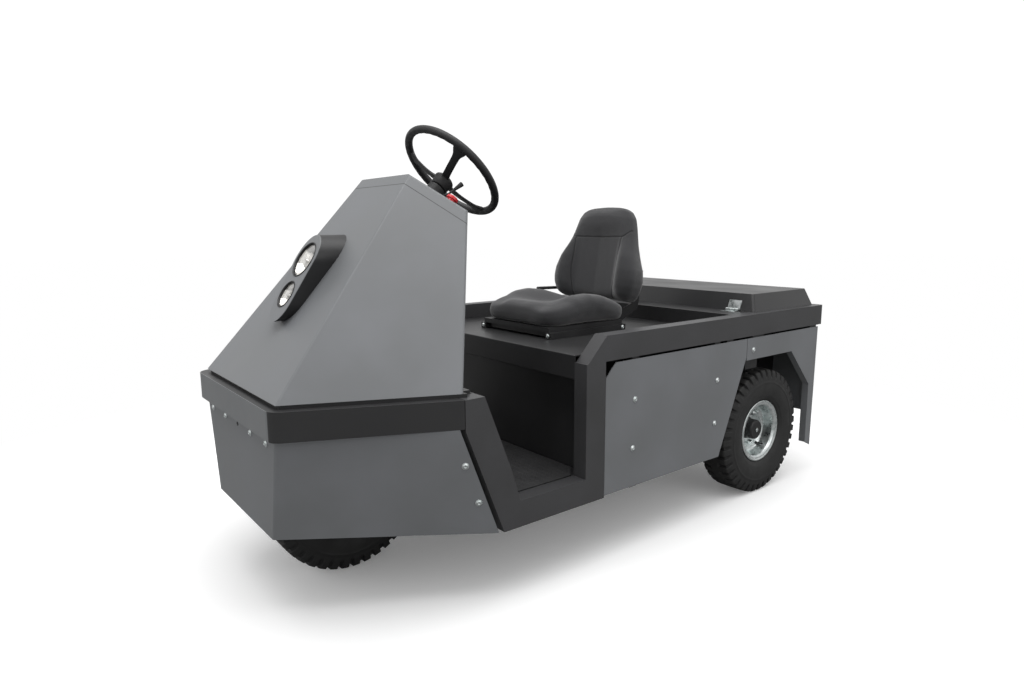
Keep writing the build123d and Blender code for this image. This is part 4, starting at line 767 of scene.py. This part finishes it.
def inflate(made):
    """Remesh evenly, blow up like a stuffed cover, hold each point within SWELL_CAP_MM and
    iron out the creases, as a cover glued to moulded foam has none."""
    remesh = made.modifiers.new("even", "REMESH")
    remesh.mode = "VOXEL"
    remesh.voxel_size = VOXEL_MM * MM
    bpy.context.view_layer.objects.active = made
    made.select_set(True)
    bpy.ops.object.modifier_apply(modifier=remesh.name)
    before = vectors(made.data, "co")
    before = before + ironed(made.data, ironed(made.data, before, 3) - before, 2)
    made.data.vertices.foreach_set("co", before.astype(np.float32).ravel())
    cloth = made.modifiers.new("cover", "CLOTH")
    cloth.settings.use_pressure = True
    cloth.settings.uniform_pressure_force = PRESSURE
    cloth.settings.effector_weights.gravity = 0
    cloth.settings.tension_stiffness = STRETCH_STIFFNESS
    cloth.settings.compression_stiffness = STRETCH_STIFFNESS
    cloth.settings.bending_stiffness = BEND_STIFFNESS
    cloth.point_cache.frame_start, cloth.point_cache.frame_end = 1, CLOTH_STEPS
    for step in range(1, CLOTH_STEPS + 1):
        bpy.context.scene.frame_set(step)
    bpy.ops.object.modifier_apply(modifier=cloth.name)
    bpy.context.scene.frame_set(1)
    move = vectors(made.data, "co") - before
    size = np.maximum(np.linalg.norm(move, axis=1, keepdims=True), 1e-9)
    move = ironed(made.data, move * np.minimum(1, SWELL_CAP_MM * MM / size), IRON_ROUNDS)
    made.data.vertices.foreach_set("co", (before + move).astype(np.float32).ravel())
    finer = made.modifiers.new("fine", "SUBSURF")
    finer.levels = finer.render_levels = 1
    bpy.ops.object.modifier_apply(modifier=finer.name)
    made.select_set(False)
    made.data.polygons.foreach_set("use_smooth", np.full(len(made.data.polygons), True))


SEAM_WIDTH_MM, SEAM_DEPTH_MM = 3.2, 2.6
UPRIGHT_SEAM_TOP, NO_SEAM_MM = 262, 1e3


def back_seams(co, normal):
    """Distance in mm from the backrest's seams: two up its front, and one across it that
    climbs at its ends. Points that don't face forward, and for the upright seams those
    above their top, count as NO_SEAM_MM away."""
    local = (co - BACK_FOOT.astype(np.float32)) / MM
    x, up = np.abs(local[:, 0]), local @ BACK_UP
    facing_front = normal @ BACK_FRONT > 0.2
    line_x = 118 + 14 * smoothstep(0, 120, up) + 4 * smoothstep(180, UPRIGHT_SEAM_TOP, up)
    upright = np.where(up < UPRIGHT_SEAM_TOP, np.abs(x - line_x), NO_SEAM_MM)
    level = 258 + 34 * smoothstep(138, 182, x)
    across = np.abs(up - level)
    return np.where(facing_front, np.minimum(upright, across), NO_SEAM_MM)


def press_seams(made, distances):
    """Sink the seams into the skin: a point sinks along its normal by the seam's depth times a bell curve of
    its distance from the seam. A narrower bell curve is kept as a dark line along the seam's groove."""
    co, normal = vectors(made.data, "co"), vectors(made.data, "normal")
    distance = distances(co, normal)
    sink = np.exp(-(distance / SEAM_WIDTH_MM) ** 2)
    made.data.vertices.foreach_set("co", (co - normal * (sink * SEAM_DEPTH_MM * MM)[:, None]).ravel())
    line = np.exp(-(distance / (0.6 * SEAM_WIDTH_MM)) ** 2)
    made.data.attributes.new("seam", "FLOAT", "POINT").data.foreach_set("value", line.astype(np.float32))


cushion = cover("seat_cushion_cover", cushion_skin())
backrest = cover("seat_back_cover", back_skin())
inflate(cushion)
inflate(backrest)
press_seams(backrest, back_seams)
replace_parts(cushion, "seat_cushion")
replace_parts(backrest, "seat_back")

# ---------------------------------------------------------------- lamps
# The pod's face goes back by LEAN for each step up, and is at FACE_STATION at FACE_HEIGHT.
LEAN, FACE_STATION, FACE_HEIGHT = 65 / 106, 193, 943
FACE = facing(0, -1, LEAN)


def on_face(z):
    """Middle of the pod's leaning face at one height."""
    return at(0, FACE_STATION + LEAN * (z - FACE_HEIGHT), z)


# Columns: distance in front of the face, then for the ring how far inside the lamp's radius
# and for the bulb how far from its axis, mm.
RING_PROFILE = np.array([(-9, 5), (-4, 4.6), (1.8, 3.4), (2.2, 1.6), (1.6, 0.6), (-9, 0.4)])
BULB_PROFILE = np.array([
    (-30, 5.5), (-20, 5.6), (-18, 8.6), (-15, 8.8), (-14, 6.2), (-8, 6), (-3.6, 4.4), (-2.4, 2.2),
    (-2.2, 0),
])
BULB_DEPTH = 6
for name, z, radius in (("main", 1049, 62), ("dip", 943, 47)):
    middle = on_face(z)
    ring = RING_PROFILE * [1, -1] + [0, radius]
    revolved(f"lamp_ring_{name}", ring * MM, middle, FACE, black_plastic, "chassis", 96)
    revolved(f"lamp_bulb_{name}", BULB_PROFILE * MM, middle - FACE * BULB_DEPTH * MM, FACE, lamp_mirror,
             "chassis", 32)

# ---------------------------------------------------------------- stage, light and camera
FLOOR_BOUNCE = "8c8c8c"
SHADOW_ENDS, BACKDROP_STARTS = 1.7, 3.0


def stage_material():
    """Matt white studio paper with a faint fibre. To the camera it is white and takes the
    shadow, and from SHADOW_ENDS to BACKDROP_STARTS metres from the middle it turns into the
    backdrop. What it throws back on the object is the light of a mid-grey paper."""
    made, tree, shader, where = start("studio_paper", "ffffff", 1.0, **{
        "Specular IOR Level": 0.0, "Emission Color": (1, 1, 1, 1), "Emission Strength": 0.1})
    finish_shader(tree, shader, Normal=bump(tree, noise(tree, where, 3, 2), 0.02))
    far = add(tree, "ShaderNodeVectorMath", {"operation": "LENGTH"}, {"Vector": where}).outputs["Value"]
    plain = add(tree, "ShaderNodeEmission", {"Color": (1, 1, 1, 1), "Strength": 1.0})
    grey = add(tree, "ShaderNodeBsdfDiffuse", {"Color": colour(FLOOR_BOUNCE)})
    share = ramp(tree, far, SHADOW_ENDS, BACKDROP_STARTS, 0, 1)
    fade = add(tree, "ShaderNodeMixShader", links={"Fac": share})
    tree.links.new(shader.outputs[0], fade.inputs[1])
    tree.links.new(plain.outputs[0], fade.inputs[2])
    path = add(tree, "ShaderNodeLightPath")
    both = add(tree, "ShaderNodeMixShader", links={"Fac": path.outputs["Is Camera Ray"]})
    tree.links.new(grey.outputs[0], both.inputs[1])
    tree.links.new(fade.outputs[0], both.inputs[2])
    out = [node for node in tree.nodes if node.type == "OUTPUT_MATERIAL"][0]
    tree.links.new(both.outputs[0], out.inputs["Surface"])
    return made


FLOOR_HALF = 30
floor_mesh = bpy.data.meshes.new("floor")
corners = [(x * FLOOR_HALF, y * FLOOR_HALF, 0) for x, y in ((-1, -1), (1, -1), (1, 1), (-1, 1))]
floor_mesh.from_pydata(corners, [], [(0, 1, 2, 3)])
floor_mesh.materials.append(stage_material())
floor = bpy.data.objects.new("floor", floor_mesh)
bpy.context.scene.collection.objects.link(floor)


def area_light(name, place, target, size, power):
    """Soft box at a place, turned to a target; its size in metres and its power in watts."""
    data = bpy.data.lights.new(name, "AREA")
    data.shape = "RECTANGLE"
    data.size, data.size_y = size
    data.energy = power
    made = bpy.data.objects.new(name, data)
    made.location = place
    made.rotation_euler = (Vector(place) - Vector(target)).to_track_quat("Z", "Y").to_euler()
    bpy.context.scene.collection.objects.link(made)


area_light("overhead_softbox", (0.6, -0.5, 5.2), (0, 0, 0.4), (5.5, 4.5), 184)
area_light("front_softbox", (-1.5, -5.2, 2.6), (0, -0.4, 0.6), (3.5, 2.6), 14)
area_light("side_softbox", (5.6, 0.8, 2.4), (0, 0.3, 0.5), (3.6, 2.4), 28)

# The room lights the object less than the backdrop shines to the camera.
ROOM_LIGHT, BACKDROP_LIGHT = 0.79, 1.05
world = bpy.data.worlds.new("studio")
bpy.context.scene.world = world
world.use_nodes = True
sky = world.node_tree
sky.nodes.clear()
room = add(sky, "ShaderNodeBackground", {"Color": (1, 1, 1, 1), "Strength": ROOM_LIGHT})
white = add(sky, "ShaderNodeBackground", {"Color": (1, 1, 1, 1), "Strength": BACKDROP_LIGHT})
path = add(sky, "ShaderNodeLightPath")
mix = add(sky, "ShaderNodeMixShader", links={"Fac": path.outputs["Is Camera Ray"]})
sky.links.new(room.outputs[0], mix.inputs[1])
sky.links.new(white.outputs[0], mix.inputs[2])
add(sky, "ShaderNodeOutputWorld", links={"Surface": mix.outputs[0]})

# Turns from looking level and straight to the rear: sideways, down, and round its own axis.
AZIMUTH, PITCH, ROLL = np.radians(51.733), np.radians(9.416), np.radians(-0.3)
# Its focal length over the picture's width, and the width of its sensor in mm.
FOCAL_SHARE, SENSOR_WIDTH = 687.57 / 1024, 36
CAMERA_PLACE = (2.1255, -1.8334, 1.1451)
ahead = np.array([-np.sin(AZIMUTH) * np.cos(PITCH), np.cos(AZIMUTH) * np.cos(PITCH), -np.sin(PITCH)])
level = np.array([np.cos(AZIMUTH), np.sin(AZIMUTH), 0])
above = np.cross(level, ahead)
right = np.cos(ROLL) * level + np.sin(ROLL) * above
up = -np.sin(ROLL) * level + np.cos(ROLL) * above
camera_data = bpy.data.cameras.new("main_camera")
camera_data.sensor_width = SENSOR_WIDTH
camera_data.lens = FOCAL_SHARE * SENSOR_WIDTH
camera_data.clip_start, camera_data.clip_end = 0.05, 100
camera = bpy.data.objects.new("main_camera", camera_data)
turned = Matrix(np.stack([right, up, -ahead], 1).tolist())
camera.matrix_world = Matrix.Translation(CAMERA_PLACE) @ turned.to_4x4()
bpy.context.scene.collection.objects.link(camera)
bpy.context.scene.camera = camera
bpy.context.scene.view_settings.view_transform = "Standard"
